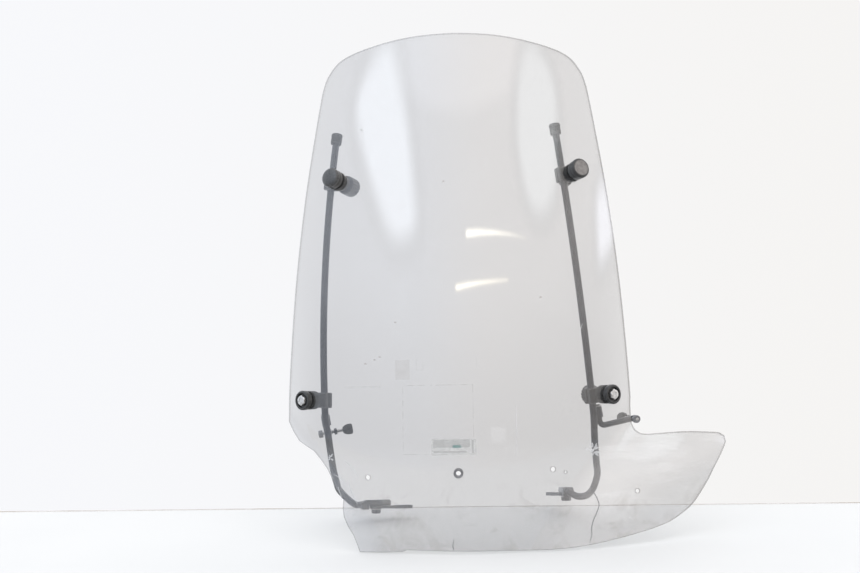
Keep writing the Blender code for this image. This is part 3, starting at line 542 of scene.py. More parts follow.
def rounded(profile, radius, steps=3):
    """A closed-off profile of (radius, z) with its inner corners softened. The first and last points stay."""
    points = [Vector(p) for p in profile]
    out = [tuple(points[0])]
    for before, here, after in zip(points, points[1:], points[2:]):
        reach = min(radius, (before - here).length * 0.45, (after - here).length * 0.45)
        start = here + (before - here).normalized() * reach
        end = here + (after - here).normalized() * reach
        for i in range(steps + 1):
            t = i / steps
            out.append(tuple(start * (1 - t) ** 2 + here * (2 * t * (1 - t)) + end * t * t))
    return out + [tuple(points[-1])]


def turned(profile, sides=48, closed=False, shape=None):
    """Points and faces of a profile turned round Z. shape(radius, angle, z) may change the radius."""
    verts, rings = [], []
    for radius, z in profile:
        if radius < 1e-7:
            rings.append([len(verts)])
            verts.append((0, 0, z))
            continue
        rings.append(list(range(len(verts), len(verts) + sides)))
        for i in range(sides):
            angle = 2 * pi * i / sides
            reach = shape(radius, angle, z) if shape else radius
            verts.append((reach * cos(angle), reach * sin(angle), z))
    pairs = list(zip(rings, rings[1:]))
    if closed:
        pairs.append((rings[-1], rings[0]))
    faces = []
    for low, high in pairs:
        for i in range(sides):
            j = (i + 1) % sides
            if len(low) == 1:
                faces.append((low[0], high[j], high[i]))
            elif len(high) == 1:
                faces.append((low[i], low[j], high[0]))
            else:
                faces.append((low[i], low[j], high[j], high[i]))
    return verts, faces


def ring(name, profile, corner, sides, surface, body, node, place):
    """A piece turned from a closed profile with softened corners."""
    make(name, *turned(rounded(profile, corner), sides, closed=True), surface, body, node, place)


def hexagon(flat):
    """A shape that keeps a turned ring inside a hexagon of that half width across flats."""
    def limit(radius, angle, z):
        part = (angle + pi / 6) % (pi / 3) - pi / 6
        return min(radius, flat / cos(part))
    return limit


def fluted(outer, inner, count, depth, low, high):
    """A shape with grip flutes round the outside, between two heights."""
    def grip(radius, angle, z):
        if radius < inner or not low <= z <= high:
            return radius
        wave = 0.5 + 0.5 * cos(count * angle)
        return radius - depth * wave ** 3 * (radius / outer)
    return grip


def smooth_run(points, step, lead=None):
    points = [Vector(p) for p in points]
    ends = [lead or 2 * points[0] - points[1]] + points + [2 * points[-1] - points[-2]]
    run = []
    for before, start, end, after in zip(ends, ends[1:], ends[2:], ends[3:]):
        pieces = max(1, round((end - start).length / step))
        for i in range(pieces):
            t = i / pieces
            run.append(0.5 * (2 * start + (end - before) * t + (2 * before - 5 * start + 4 * end - after) * t**2
                + (3 * start - before - 3 * end + after) * t**3))
    run.append(points[-1])
    return run


def swept(path, radius, sides, edge=0.0):
    """A round bar along a path, with its two ends softened by edge."""
    path = [Vector(p) for p in path]
    radii = [radius] * len(path)
    if edge:
        first, last = (path[1] - path[0]).normalized(), (path[-1] - path[-2]).normalized()
        path = [path[0], path[0] + first * edge * 0.3, path[0] + first * edge] + path[1:-1] + [
            path[-1] - last * edge, path[-1] - last * edge * 0.3, path[-1]]
        ends = [radius - edge, radius - edge * 0.3, radius]
        radii = ends + [radius] * (len(path) - 6) + ends[::-1]
    tangents = [(path[min(i + 1, len(path) - 1)] - path[max(i - 1, 0)]).normalized() for i in range(len(path))]
    side = tangents[0].orthogonal().normalized()
    verts, faces = [], []
    for point, along, reach in zip(path, tangents, radii):
        side = (side - along * side.dot(along)).normalized()
        up = along.cross(side)
        for k in range(sides):
            turn = 2 * pi * k / sides
            verts.append(point + (side * cos(turn) + up * sin(turn)) * reach)
    for i in range(len(path) - 1):
        for k in range(sides):
            a, b = i * sides + k, i * sides + (k + 1) % sides
            faces.append((a, b, b + sides, a + sides))
    last = (len(path) - 1) * sides
    faces.append(tuple(reversed(range(sides))))
    faces.append(tuple(range(last, last + sides)))
    return verts, faces


# ---- The bent sheet ----
def turn_back(a, v):
    rise = smoothstep(v / VALLEY_V)
    valley = VALLEY_U - (VALLEY_V - v) * VALLEY_SLOPE
    return a / BEND_RADIUS - mix(FLARE, rise) * smoothstep((a - valley) / mix(VALLEY_WIDTH, rise) + 0.5)


def bent_from_foot(u, v):
    lean = FOOT_LEAN + v / CAMBER_RADIUS
    back = CAMBER_RADIUS * (cos(FOOT_LEAN) - cos(lean))
    height = CAMBER_RADIUS * (sin(lean) - sin(FOOT_LEAN))
    side, depth, step = 0.0, 0.0, abs(u) / BEND_STEPS
    for i in range(BEND_STEPS):
        angle = turn_back((i + 0.5) * step, v)
        side += cos(angle) * step
        depth += sin(angle) * step
    side = side if u > 0 else -side
    return Vector((side, back + depth * cos(lean), height - depth * sin(lean)))


ORIGIN = bent_from_foot(*CENTRE_HOLE[0])


def bent(u, v):
    return bent_from_foot(u, v) - ORIGIN


def front_normal(u, v):
    e = 1e-4
    across = bent(u + e, v) - bent(u - e, v)
    upward = bent(u, v + e) - bent(u, v - e)
    return across.cross(upward).normalized()


def behind(u, v, depth):
    return bent(u, v) - front_normal(u, v) * depth


def rim_points(step):
    right = smooth_run(TOP_EDGE, step)[:-1] + smooth_run(SIDE_EDGE, step * 1.6)[:-1]
    left = [(-p[0], p[1]) for p in right[1:]]
    right += smooth_run(INNER_CORNER, step * 0.5)[:-1] + smooth_run(WING_EDGE, step)
    rim = [tuple(p) for p in right] + [tuple(p) for p in BROKEN_EDGE] + list(reversed(left))
    return list(reversed(rim))


def circle(centre, radius, count):
    return [(centre[0] + radius * cos(2 * pi * i / count), centre[1] + radius * sin(2 * pi * i / count))
        for i in range(count)]


def inside(point, loop):
    x, y = point
    hit = False
    for (x0, y0), (x1, y1) in zip(loop, loop[1:] + loop[:1]):
        if (y0 > y) != (y1 > y) and x < (x1 - x0) * (y - y0) / (y1 - y0) + x0:
            hit = not hit
    return hit


def inset(loop, distance):
    """The loop moved to its left side, which is inward for one that runs anticlockwise."""
    out = []
    for i, here in enumerate(loop):
        here, before, after = Vector(here), Vector(loop[i - 1]), Vector(loop[(i + 1) % len(loop)])
        a, b = (here - before).normalized(), (after - here).normalized()
        normal = Vector((-a.y - b.y, a.x + b.x))
        normal = normal.normalized() / max(0.5, cos(a.angle(b) / 2))
        out.append(tuple(here + normal * distance))
    return out


def sheet_loops():
    """The rim anticlockwise, and the holes clockwise, so that the sheet is on the left of each."""
    rim = rim_points(FINE_RIM)
    if sum(a[0] * b[1] - b[0] * a[1] for a, b in zip(rim, rim[1:] + rim[:1])) < 0:
        rim = rim[::-1]
    holes = [CENTRE_HOLE] + list(PLAIN_HOLES) + [((u, v), BOLT_HOLE_RADIUS) for u, v, _ in CLAMPS.values()]
    return rim, [circle(centre, radius, HOLE_SIDES)[::-1] for centre, radius in holes]


def build_sheet():
    rim, holes = sheet_loops()
    loops = [inset(loop, EDGE_ROUND) for loop in [rim] + holes]
    points, edges = [], []
    for loop in loops:
        first = len(points)
        points += loop
        edges += [(first + i, first + (i + 1) % len(loop)) for i in range(len(loop))]
    rows, columns = int(0.75 / FINE_GRID), int(0.42 / FINE_GRID)
    near = [Vector(p) for p in points]
    for row in range(1, rows):
        line = [p for p in near if abs(p.y - row * FINE_GRID) < FINE_GRID]
        for column in range(-columns, columns + 1):
            spot = Vector(((column + 0.5 * (row % 2)) * FINE_GRID, row * FINE_GRID))
            if inside(spot, rim) and all((spot - p).length > FINE_GRID * 0.45 for p in line):
                points.append(tuple(spot))
    flat, _, found, *_ = geometry.delaunay_2d_cdt([Vector(p) for p in points], edges, [], 0, 1e-7)
    triangles = []
    for face in found:
        middle = sum((flat[i] for i in face), Vector((0, 0))) / len(face)
        if inside(middle, loops[0]) and not any(inside(middle, hole) for hole in loops[1:]):
            a, b, c = (flat[i] for i in face[:3])
            triangles.append(face if (b - a).cross(c - a) > 0 else face[::-1])
    count = len(flat)
    verts, normals, places = [], [], []
    for depth, sign in ((0.0, 1), (SHEET, -1)):
        for u, v in flat:
            normal = front_normal(u, v)
            verts.append(bent(u, v) - normal * depth)
            normals.append(normal * sign)
            places.append((u, v))
    faces = [tuple(t) for t in triangles] + [tuple(i + count for i in reversed(t)) for t in triangles]
    slots = [0] * len(faces)
    first = 0
    for loop in [rim] + holes:
        ring = len(verts)
        size = len(loop)
        outward = [Vector(p) - Vector(q) for p, q in zip(loop, inset(loop, 1.0))]
        for depth in (EDGE_ROUND, SHEET - EDGE_ROUND):
            for (u, v), out in zip(loop, outward):
                verts.append(behind(u, v, depth))
                normals.append((bent(u + out.x * 1e-3, v + out.y * 1e-3) - bent(u, v)).normalized())
                places.append((u, v))
        for i in range(size):
            j = (i + 1) % size
            faces.append((first + j, first + i, ring + i, ring + j))
            faces.append((ring + j, ring + i, ring + size + i, ring + size + j))
            faces.append((ring + size + j, ring + size + i, count + first + i, count + first + j))
            slots += [1, 1, 1]
        first += size
    mesh = new_mesh("acrylic_sheet", verts, faces, MATERIALS["acrylic"], MATERIALS["edge"])
    mesh.update()
    mesh.shade_smooth()
    mesh.polygons.foreach_set("material_index", slots)
    layer = mesh.uv_layers.new(name="flat")
    for loop in mesh.loops:
        layer.data[loop.index].uv = places[loop.vertex_index]
    mesh.normals_split_custom_set_from_vertices([tuple(v) for v in normals])
    obj = new_object("acrylic_sheet", mesh)
    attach(obj, "screen")
    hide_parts("screen")


def ribbon(name, path, width, low, high, surface):
    """A thin wall inside the sheet that follows a flat path, tapering to its ends."""
    run = smooth_run([Vector(p) for p in path], 0.0035)
    verts, faces = [], []
    for i, point in enumerate(run):
        ahead, back = run[min(i + 1, len(run) - 1)], run[max(i - 1, 0)]
        along = (ahead - back).normalized()
        taper = width * (0.25 + 0.75 * sin(pi * (i + 0.5) / len(run))) / 2
        jitter = random.uniform(-0.0003, 0.0003)
        for side, depth in ((1, low), (-1, low), (-1, high), (1, high)):
            across = Vector((-along.y, along.x)) * (side * taper + jitter)
            verts.append(behind(point.x + across.x, point.y + across.y, depth))
    for i in range(len(run) - 1):
        for k in range(4):
            a, b = 4 * i + k, 4 * i + (k + 1) % 4
            faces.append((a, b, b + 4, a + 4))
    last = 4 * (len(run) - 1)
    faces += [(3, 2, 1, 0), (last, last + 1, last + 2, last + 3)]
    make(name, verts, faces, surface, "screen", slot="acrylic", sharp=60)


def stress_mark(name, centre, count, longest, spread, turn):
    """A fan of thin leaf-shaped flakes inside the sheet."""
    verts, faces = [], []
    for i in range(count):
        angle = turn + 2 * pi * i / count + random.uniform(-0.3, 0.3)
        length = longest * random.uniform(0.45, 1.0)
        middle = Vector(centre) + Vector((cos(angle), sin(angle))) * spread * random.uniform(0.15, 0.6)
        along = Vector((cos(angle), sin(angle) * 0.6)).normalized()
        across = Vector((-along.y, along.x))
        depth = random.uniform(0.0004, 0.0022)
        lean = random.uniform(-0.0003, 0.0003)
        first, half = len(verts), 4
        for layer in (0.0, 0.00016):
            for k in range(2 * half):
                t = 2 * pi * k / (2 * half)
                spot = middle + along * (cos(t) * length / 2) + across * (sin(t) * length * 0.17)
                verts.append(behind(spot.x, spot.y, depth + layer + lean * sin(t)))
        ring = 2 * half
        faces.append(tuple(first + k for k in range(ring)))
        faces.append(tuple(first + ring + k for k in reversed(range(ring))))
        for k in range(ring):
            m = (k + 1) % ring
            faces.append((first + m, first + k, first + ring + k, first + ring + m))
    make(name, verts, faces, "crazed", "screen", slot="acrylic", sharp=60)


# ---- Frames of the small pieces, as in the CAD ----
def arc_of(side):
    upper, middle, lower = (behind(*knot) for knot in ROD_ARCS[side])
    a, b = middle - upper, lower - upper
    normal = a.cross(b)
    centre = upper + (normal.cross(a) * b.length_squared + b.cross(normal) * a.length_squared) / (
        2 * normal.length_squared)
    return centre, normal.normalized(), upper, lower


def on_arc(side, distance):
    centre, normal, upper, _ = arc_of(side)
    turn = Matrix.Rotation(distance / (upper - centre).length, 3, normal)
    spoke = turn @ (upper - centre)
    return centre + spoke, -normal.cross(spoke).normalized()


def arc_length(side):
    centre, _, upper, lower = arc_of(side)
    return (upper - centre).angle(lower - centre) * (upper - centre).length


def bracket_frame(side):
    end = Vector(ROD_FEET[side][-1]) - ORIGIN
    turn = Matrix.Rotation(BRACKET_TILT, 4, "X") @ Matrix.Rotation(BRACKETS[side], 4, "Z")
    return Matrix.Translation(end) @ turn @ shifted(-ROD_IN_BODY[0], 0, -ROD_IN_BODY[1])


def rod_line(side, fine=1):
    """The rod's middle line. A larger fine gives more points on the same line."""
    start, finish = -ROD_ABOVE[side], arc_length(side) + ROD_BELOW
    steps = round((finish - start) / ARC_STEP)
    lead = on_arc(side, finish - (finish - start) / steps)[0]
    line = [on_arc(side, start + (finish - start) * i / (steps * fine))[0] for i in range(steps * fine + 1)]
    feet = [Vector(p) - ORIGIN for p in ROD_FEET[side]]
    into = bracket_frame(side).to_3x3() @ Vector((1, 0, 0))
    feet[-1:-1] = [feet[-1] - into * distance for distance in ROD_STRAIGHT]
    return line[:-1] + smooth_run([line[-1]] + feet, FOOT_STEP / fine, lead=lead)


def clamp_frame(name):
    u, v, _ = CLAMPS[name]
    level, side = name.split("_")
    distance = 0.0 if level == "upper" else arc_length(side)
    point, along = on_arc(side, distance)
    place = axes_at(bent(u, v), front_normal(u, v), along)
    return place, place.inverted() @ point


def stay_frame(side):
    distance = arc_length(side) + SLEEVE_BELOW[side]
    line = rod_line(side)
    run, here = 0.0, -ROD_ABOVE[side]
    for a, b in zip(line, line[1:]):
        run = (b - a).length
        if here + run >= distance:
            break
        here += run
    point = a + (b - a) * ((distance - here) / run)
    up = Vector(SLEEVE_UP[side]).normalized()
    right = (Vector((1, 0, 0)) - up * up.x).normalized()
    back = up.cross(right)
    outward, rearward = SLEEVE_OFFSET[side]
    outward = outward if side == "right" else -outward
    middle = point + right * outward + back * rearward
    return Matrix.Translation(middle) @ Matrix((right, back, up)).transposed().to_4x4()


# ---- Pieces ----
def build_rod(side):
    body = side + "_rod"
    make(side + "_rod_tube", *swept(rod_line(side, 3), ROD_RADIUS, 28, 0.0004), "black_steel", body, side + "_rod")
    top, up = on_arc(side, -ROD_ABOVE[side])
    bore = ROD_RADIUS + BORE_GAP
    outside = [(bore, -0.0125), (0.0074, -0.0125)]
    for i in range(4):
        z = -0.0112 + i * 0.0024
        outside += [(0.0079, z), (0.0079, z + 0.0011), (0.0073, z + 0.0014), (0.0073, z + 0.002)]
    outside += [(0.0081, -0.0012), (0.0082, 0.001), (0.0074, 0.0029), (0.005, 0.0035), (0, 0.0036)]
    cap = [(0, TOUCH), (bore, TOUCH)] + outside
    make(side + "_ribbed_end_cap", *turned(rounded(cap, 0.0003, 2), 40), "black_rubber", body, side + "_rod_end_cap",
        axes_at(top, up, (0, 1, 0)))


def build_clamp(name):
    knob_end = CLAMPS[name][2]
    capped = name.startswith("upper")
    place, rod = clamp_frame(name)
    depth = -rod.z
    front, rear = depth - CLAMP_HALF_DEPTH, depth + CLAMP_HALF_DEPTH
    nut_end = rear + TOUCH + 0.0065
    tail = (knob_end - 0.006) if knob_end else nut_end + 0.003
    hole = BOLT_RADIUS + BORE_GAP
    head = CUP_FLOOR + TOUCH
    top = head + HEAD_HEIGHT
    shank = [(0, -tail), (BOLT_RADIUS - 0.0006, -tail), (BOLT_RADIUS, -tail + 0.0008), (BOLT_RADIUS, head)]
    rim = [(0.0078, head), (0.0078, top - 0.0012), (0.0062, top - 0.0002), (0.0056, top), (0.003, top - 0.0001),
        (0.0027, top - 0.0006), (0, top - 0.0007)]
    make(name + "_hex_bolt", *turned(shank + rim, 72, shape=hexagon(HEX_FLAT)), "zinc", "screen", name + "_bolt", place)
    cup = [(hole, TOUCH), (CUP_RADIUS, TOUCH), (CUP_RADIUS, CUP_HEIGHT - 0.0012), (CUP_RADIUS - 0.0012, CUP_HEIGHT),
        (0.0106, CUP_HEIGHT), (0.0099, CUP_HEIGHT - 0.001), (0.0096, CUP_FLOOR), (hole, CUP_FLOOR)]
    ring(name + "_round_cup", cup, 0.0005, 56, "black_plastic", "screen", name + "_cup", place)
    if capped:
        inner, low = 0.01, CUP_HEIGHT + TOUCH
        cap = [(0, top + 0.0008), (inner, top + 0.0008), (inner, low), (CAP_RADIUS, low)]
        if name == "upper_left":
            cap += [(CAP_RADIUS, 0.0108), (0.0137, 0.0126), (0.0122, 0.014), (0.0098, 0.0149), (0.0062, 0.0153),
                (0.0028, CAP_TOP - 0.0001), (0, CAP_TOP)]
        else:
            cap += [(CAP_RADIUS, 0.0132), (0.0126, 0.0149), (0.0118, CAP_TOP - 0.0001), (0.006, CAP_TOP),
                (0, CAP_TOP)]
        # the right cap's flat top is painted lighter, a painted reflection
        surface = "domed_cap" if name == "upper_left" else "faded_cap"
        make(name + "_cover_cap", *turned(rounded(cap, 0.0004), 64), surface, "screen", name + "_snap_cap", place,
            "black_plastic")
    bush = [(hole, TOUCH - front), (BUSH_RADIUS, TOUCH - front), (BUSH_RADIUS, -SHEET - SEAT), (hole, -SHEET - SEAT)]
    ring(name + "_rubber_bush", bush, 0.0004, 48, "black_rubber", "screen", name + "_bush", place)
    start = -rear - TOUCH
    if knob_end:
        collar, shoulder = KNOB_COLLAR[0], start - KNOB_COLLAR[1]
        foot, rise = -knob_end + 0.0022, shoulder - 0.001 + knob_end - 0.0022
        knob = [(0, -knob_end), (0.0095, -knob_end), (KNOB_RADIUS - 0.0016, -knob_end + 0.0004), (KNOB_RADIUS, foot)]
        knob += [(KNOB_RADIUS, foot + rise * i / 6) for i in range(1, 7)]
        knob += [(KNOB_RADIUS - 0.001, shoulder), (collar, shoulder), (collar, start), (hole, start),
            (hole, -knob_end + 0.0045), (0, -knob_end + 0.0045)]
        grip = fluted(KNOB_RADIUS, KNOB_RADIUS - 0.0017, 18, 0.0011, -knob_end, shoulder - 0.0004)
        make(name + "_fluted_knob", *turned(knob, 144, shape=grip), "black_plastic", name + "_knob",
            name + "_hand_knob", place)
    else:
        nut = [(hole, -nut_end), (0.0066, -nut_end), (0.0078, -nut_end + 0.0008), (0.0078, start - 0.0008),
            (0.0066, start), (hole, start)]
        make(name + "_hex_nut", *turned(nut, 72, closed=True, shape=hexagon(HEX_FLAT)), "zinc", "screen",
            name + "_nut", place)


def build_stay(side):
    azimuth, hand = STAYS[side]
    place = stay_frame(side)
    half = SLEEVE_HEIGHT / 2
    sleeve = [(SLEEVE_BORE, -half), (SLEEVE_RADIUS, -half), (SLEEVE_RADIUS, half), (SLEEVE_BORE, half)]
    ring(side + "_welded_sleeve", sleeve, 0.0004, 40, "black_steel", side + "_rod", side + "_stay_sleeve", place)
    arm = place @ Matrix.Rotation(azimuth, 4, "Z")
    corner = [Vector((BAR_BEND - BAR_BEND * cos(pi / 2 * i / 10), 0,
        BAR_BEND - LEG_DROP - BAR_BEND * sin(pi / 2 * i / 10))) for i in range(11)]
    bar = [Vector((0, 0, LEG_TOP))] + corner + [Vector((SCREW_AT, 0, -LEG_DROP)), Vector((BAR_REACH, 0, -LEG_DROP))]
    make(side + "_bent_bar", *swept(bar, BAR_RADIUS, 28, 0.0005), "black_steel", side + "_stay",
        side + "_stay_arm", arm)
    across = arm @ shifted(SCREW_AT, 0, -LEG_DROP) @ Matrix.Rotation(-hand * pi / 2, 4, "X")
    clip = [(BAR_RADIUS + BORE_GAP, half + TOUCH), (0.0062, half + TOUCH), (0.0062, half + 0.0025),
        (BAR_RADIUS + BORE_GAP, half + 0.0025)]
    ring(side + "_round_clip", clip, 0.0004, 40, "zinc", side + "_stay", side + "_stay_clip", arm)
    screw = [(0, -0.0175), (SCREW_RADIUS - 0.0004, -0.0175)]
    for i in range(58):
        z = -0.0172 + i * 0.0007
        screw += [(SCREW_RADIUS - 0.0003, z), (SCREW_RADIUS, z + 0.00035)]
    screw += [(SCREW_RADIUS - 0.0002, 0.024), (0, 0.024)]
    make(side + "_threaded_screw", *turned(screw, 24), "zinc", side + "_stay_screw", side + "_stay_screw", across)
    free = SCREW_RADIUS + BORE_GAP
    pad = [(free, -0.017), (0.0048, -0.017), (0.0055, -0.016), (0.0055, -0.011), (free, -0.011)]
    ring(side + "_round_pad", pad, 0.0005, 36, "grey_rubber", side + "_stay_screw", side + "_stay_pad", across)
    nut = [(free, 0.0062), (0.0042, 0.0062), (0.0048, 0.0067), (0.0048, 0.0097), (0.0042, 0.0102), (free, 0.0102)]
    make(side + "_small_hex_nut", *turned(nut, 60, closed=True, shape=hexagon(0.004)), "black_steel",
        side + "_stay", side + "_stay_lock_nut", across)
    head = [(0, 0.0243), (free, 0.0243), (free, 0.019), (0.0045, 0.019), (0.0066, 0.0225), (0.0078, 0.026),
        (0.0078, 0.0285), (0.0078, 0.031), (0.0066, 0.0332), (0.003, 0.0335), (0, 0.0335)]
    grip = fluted(0.0078, 0.006, 12, 0.0008, 0.02, 0.0325)
    make(side + "_fluted_screw_head", *turned(rounded(head, 0.0005), 96, shape=grip), "black_rubber",
        side + "_stay_screw", side + "_stay_screw_head", across)


def build_bracket(side):
    place = bracket_frame(side)
    tapped = BOLT_RADIUS + BORE_GAP
    under = -PLATE - TOUCH
    washer = [(tapped, under - WASHER), (0.0078, under - WASHER), (0.0078, under), (tapped, under)]
    ring(side + "_round_washer", washer, 0.0003, 48, "zinc", side + "_rod", side + "_pivot_washer", place)
    head = under - WASHER - TOUCH
    low = head - HEAD_HEIGHT
    bolt = [(0, low), (0.0056, low), (0.0062, low + 0.0002), (0.0078, low + 0.0012), (0.0078, head),
        (BOLT_RADIUS, head), (BOLT_RADIUS, 0.0068), (0, 0.0068)]
    make(side + "_hex_pivot_bolt", *turned(bolt, 72, shape=hexagon(HEX_FLAT)), "black_steel", side + "_rod",
        side + "_pivot_bolt", place)


def build_grommet():
    (u, v), hole = CENTRE_HOLE
    place = axes_at(bent(u, v), front_normal(u, v), (0, 0, 1))
    groove, flange, bore = hole - BORE_GAP, 0.0066, 0.0034
    low, high = -SHEET - SEAT, TOUCH
    profile = [(bore, low - 0.0016), (flange, low - 0.0016), (flange, low), (groove, low), (groove, high),
        (flange, high), (flange, high + 0.0012), (flange - 0.0006, high + 0.0016), (bore, high + 0.0016)]
    ring("round_grommet", profile, 0.0003, 48, "grey_rubber", "screen", "centre_grommet", place)


def film(name, low, high, depth, thick, surface, node=None, corner=0.0):
    """A thin bent film on the sheet's front, from low to high on the flat sheet, with round corners."""
    columns, rows = 24, 8
    verts, faces = [], []
    for layer in (thick, 0.0):
        for row in range(rows + 1):
            for column in range(columns + 1):
                u = low[0] + (high[0] - low[0]) * column / columns
                v = low[1] + (high[1] - low[1]) * row / rows
                if corner and row in (0, rows) and column in (0, columns):
                    u += corner * (1 if column == 0 else -1)
                    v += corner * (1 if row == 0 else -1)
                verts.append(behind(u, v, -depth - layer))
    wide = columns + 1
    back = wide * (rows + 1)
    for row in range(rows):
        for column in range(columns):
            a = row * wide + column
            faces.append((a, a + 1, a + wide + 1, a + wide))
            faces.append((back + a, back + a + wide, back + a + wide + 1, back + a + 1))
    rim = list(range(columns)) + [columns + wide * r for r in range(rows)]
    rim += [wide * rows + columns - c for c in range(columns)] + [wide * (rows - r) for r in range(rows)]
    for a, b in zip(rim, rim[1:] + rim[:1]):
        faces.append((b, a, a + back, b + back))
    make(name, verts, faces, surface, "screen", node, slot="label_film")


def build_label():
    """A blank sticker: clear film, a grey panel, a small coloured block and plain bars."""
    film("blank_label_sheet", LABEL_LOW, LABEL_HIGH, TOUCH, 0.0002, "label", "info_label", 0.0006)
    top = TOUCH + 0.00022
    for part, low, high in LABEL_BARS:
        film("blank_label_" + part, low, high, top, 0.00006, "label_grey")
    film("blank_label_block", (-0.007, 0.1435), (0.004, 0.147), top + 0.00008, 0.00005, "label_mark")


def dress_kept_nodes():
    """Materials for the CAD nodes that stay."""
    kept = {"_clamp_front": "black_plastic", "_clamp_rear": "black_plastic", "_bracket_body": "black_steel",
        "_fixing_plate": "black_steel"}
    for name, obj in frame["nodes"].items():
        for ending, surface in kept.items():
            if name.endswith(ending):
                for slot in obj.material_slots:
                    slot.material = MATERIALS[surface]


# ---- Stage, lights, camera ----
def direction(azimuth, elevation):
    """Unit vector: azimuth 0 is towards -Y, 90 towards +X."""
    a, e = radians(azimuth), radians(elevation)
    return Vector((sin(a) * cos(e), -cos(a) * cos(e), sin(e)))


def staged(name, points, material):
    """A flat face of the stage."""
    made = new_object(name, new_mesh(name, points, [tuple(range(len(points)))], material))
    return made


def lower_with_rods(floor):
    """Where a rod's foot comes down past the floor, the floor stays just under it."""
    for side in ("left", "right"):
        for ending, body in (("_pivot_bolt", "_rod"), ("_fixing_plate", "_fixing_plate")):
            points = [vertex.co for vertex in frame["nodes"][side + ending].data.vertices]
            for step in range(8):
                outward = Vector((cos(pi * step / 4), sin(pi * step / 4), -0.5))
                probe = new_object("%s%s_foot_%d" % (side, ending, step), None)
                probe.parent = frame["bodies"][side + body]
                probe.location = max(points, key=outward.dot)
                limit = floor.constraints.new("FLOOR")
                limit.target = probe
                limit.floor_location = "FLOOR_NEGATIVE_Z"
                limit.offset = -FLOOR_GAP


def build_floor():
    (x0, y0), (x1, y1) = FLOOR_BACK
    floor = staged("studio_floor", [(x0, FLOOR_FRONT, 0), (x1, FLOOR_FRONT, 0), (x1, y1, 0), (x0, y0, 0)],
        floor_material())
    floor.location.z = cad_low.z - FLOOR_GAP
    lower_with_rods(floor)
    # A thin grey-brown strip along the floor's far edge: a painted shadow in the gap where the floor meets the wall.
    made, n = new_material("floor_seam_painted_shadow")
    where = n.where()
    tone = n.mix_colour(n.ramp(n.noise(where, 14.0, 5.0), 0.35, 0.65), grey(0.66, (1.02, 0.99, 0.95)),
        grey(0.50, (1.06, 0.98, 0.88)))
    n.finish(n.add("BsdfDiffuse", {"Color": tone}))
    seam_shadow = staged("floor_seam_painted_shadow", [(x0, y0, 0), (x1, y1, 0), (x1, y1, SEAM_SHADOW_HEIGHT), (x0, y0, SEAM_SHADOW_HEIGHT)], made)
    seam_shadow.parent = floor


def build_card(name, corners, strength, colour=(1.0, 1.0, 1.0), soft=0.3):
    """A light card with soft edges. Its corners go round anticlockwise from below, as azimuth and elevation."""
    rays = [direction(*corner) for corner in corners]
    facing = sum(rays, Vector()).normalized()
    points = [CARD_TARGET + ray * (CARD_DISTANCE / ray.dot(facing)) for ray in rays]
    made, n = new_material(name)
    where = n.where()
    edge = None
    for a, b in zip(points, points[1:] + points[:1]):
        inward = (b - a).cross(facing).normalized() * -1
        if inward.dot(sum(points, Vector()) / len(points) - a) < 0:
            inward = -inward
        reach = n.add("VectorMath", {0: where, 1: tuple(inward)}, operation="DOT_PRODUCT").outputs["Value"]
        share = n.ramp(reach, inward.dot(a), inward.dot(a) + soft)
        edge = share if edge is None else n.times(edge, share)
    glow = n.add("Emission", {"Color": grey(1.0, colour), "Strength": n.times(edge, strength)})
    clear = n.add("BsdfTransparent")
    n.finish(n.mix_shader(edge, clear, glow))
    staged(name, points, made).visible_camera = False


def build_lights():
    build_card("left_window", ((-38, 19), (-27, 20.5), (-10, 27), (-7, 34), (-20, 49), (-34, 68), (-60, 64), (-78, 46),
        (-78, 35), (-56, 25)), 3.75, (0.93, 1.0, 1.10), 0.70)
    build_card("right_window", ((49, 22), (64, 25), (77, 40), (76, 50), (60, 60), (38, 54), (31, 40), (37, 27)), 2.85,
        (0.98, 1.0, 1.0), 0.50)
    build_card("side_window", ((72, 11), (86, 9), (97, 12), (97, 27), (78, 27)), 4.0, (0.97, 0.98, 1.06), 0.40)
    build_card("long_lamp", ((4, 29.6), (40, 26.0), (40, 27.4), (4, 32.2)), 10.0, (1.0, 0.94, 0.80), 0.07)
    build_card("short_lamp", ((-2, 21.4), (28, 21.5), (28, 22.9), (-2, 23.6)), 9.0, (1.0, 0.92, 0.74), 0.058)


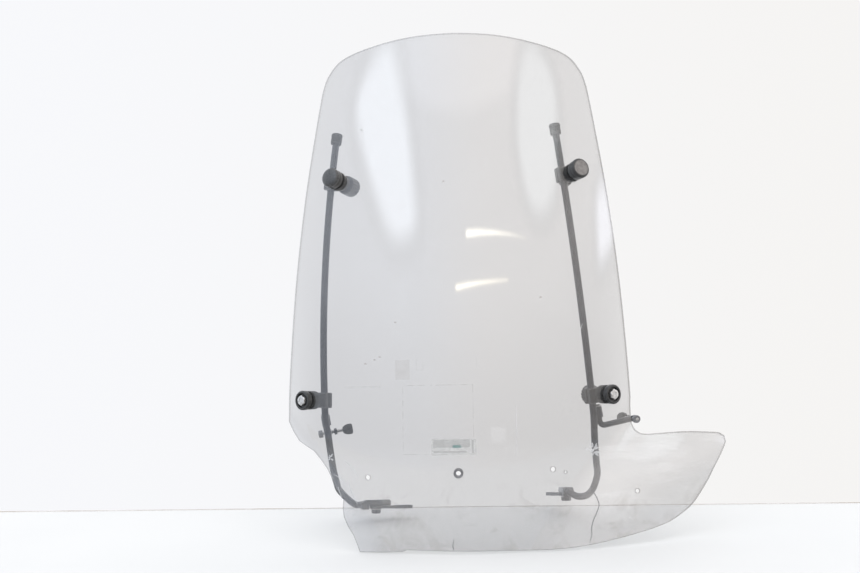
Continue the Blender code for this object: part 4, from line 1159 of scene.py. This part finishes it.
def build_world():
    """Near-white room: brighter above and in front, where the sheet mirrors it, and a pale wall behind with painted
    shading, lighter and bluer on the left, darker and warmer on the right.
    """
    world = bpy.data.worlds.new("pale_room")
    bpy.context.scene.world = world
    world.use_nodes = True
    n = Nodes(world.node_tree)
    where = n.add("TexCoord").outputs["Generated"]
    split = n.add("SeparateXYZ", {0: where})
    x, y, z = split.outputs
    height = n.plus(n.times(z, 0.5), 0.5)
    steps = n.add("ValToRGB", {0: height})
    stops = ((0.0, 0.30), (0.52, 0.30), (0.57, 0.37), (0.68, 0.56), (0.78, 0.59), (0.855, 0.61),
        (0.872, 0.79), (1.0, 0.82))
    ramp = steps.color_ramp
    while len(ramp.elements) < len(stops):
        ramp.elements.new(0.5)
    for element, (place, tone) in zip(ramp.elements, stops):
        element.position = place
        element.color = grey(tone)
    side = n.ramp(x, -0.45, 0.30)
    tinted = n.mix_colour(side, grey(1.0, (0.93, 1.0, 1.12)), grey(1.0, (1.05, 1.0, 0.97)))
    front = n.add("Mix", {0: 1.0, 6: steps.outputs[0], 7: tinted}, data_type="RGBA", blend_type="MULTIPLY")
    around = n.mix_colour(n.ramp(x, -0.5, 0.5), grey(0.63, (0.95, 1.0, 1.07)), grey(0.67, (1.02, 1.0, 0.985)))
    room = n.mix_colour(n.ramp(y, -0.45, 0.10), front.outputs[2], around)
    lit = n.add("Background", {"Color": room, "Strength": 3.0})
    # painted shading on the wall seen behind: lighter and bluer on the left, darker and warmer on the right, as the
    # room's light falls
    wall_painted_shading = n.mix_colour(n.ramp(x, -0.42, 0.36), grey(0.945, (0.992, 1.0, 1.028)), grey(0.905, (1.012, 1.0, 0.985)))
    seen = n.add("Background", {"Color": wall_painted_shading, "Strength": 1.0})
    direct = n.add("LightPath").outputs["Is Camera Ray"]
    n.finish(n.mix_shader(direct, lit, seen), "OutputWorld")


def build_camera():
    azimuth, elevation, roll = CAMERA_TURN
    back = direction(azimuth, elevation)
    right = (-back).cross(Vector((0, 0, 1))).normalized()
    up = right.cross(-back)
    r = radians(roll)
    turned_right = right * cos(r) + up * sin(r)
    turned_up = up * cos(r) - right * sin(r)
    data = bpy.data.cameras.new("camera")
    data.sensor_width = 36.0
    data.lens = CAMERA_LENS
    data.clip_start = 0.05
    camera = new_object("camera", data)
    place = Matrix((turned_right, turned_up, back)).transposed().to_4x4()
    place.translation = Vector(CAMERA_TARGET) + back * CAMERA_DISTANCE
    camera.matrix_world = place
    bpy.context.scene.camera = camera


build_sheet()
for number, path in enumerate(CRACKS, 1):
    ribbon("crack_%d" % number, path, 0.0009, 0.0001, SHEET - 0.0001, "crack")
for number, path in enumerate(SCRATCHES, 1):
    ribbon("scratch_%d" % number, path, 0.0008, 0.00008, 0.0002, "scratch")
for name, facts in STRESS_MARKS.items():
    stress_mark(name, *facts)
build_grommet()
build_label()
for name in CLAMPS:
    build_clamp(name)
for side in ("left", "right"):
    build_rod(side)
    build_stay(side)
    build_bracket(side)
dress_kept_nodes()
build_floor()
build_lights()
build_world()
build_camera()
bpy.context.scene.view_settings.view_transform = "Standard"
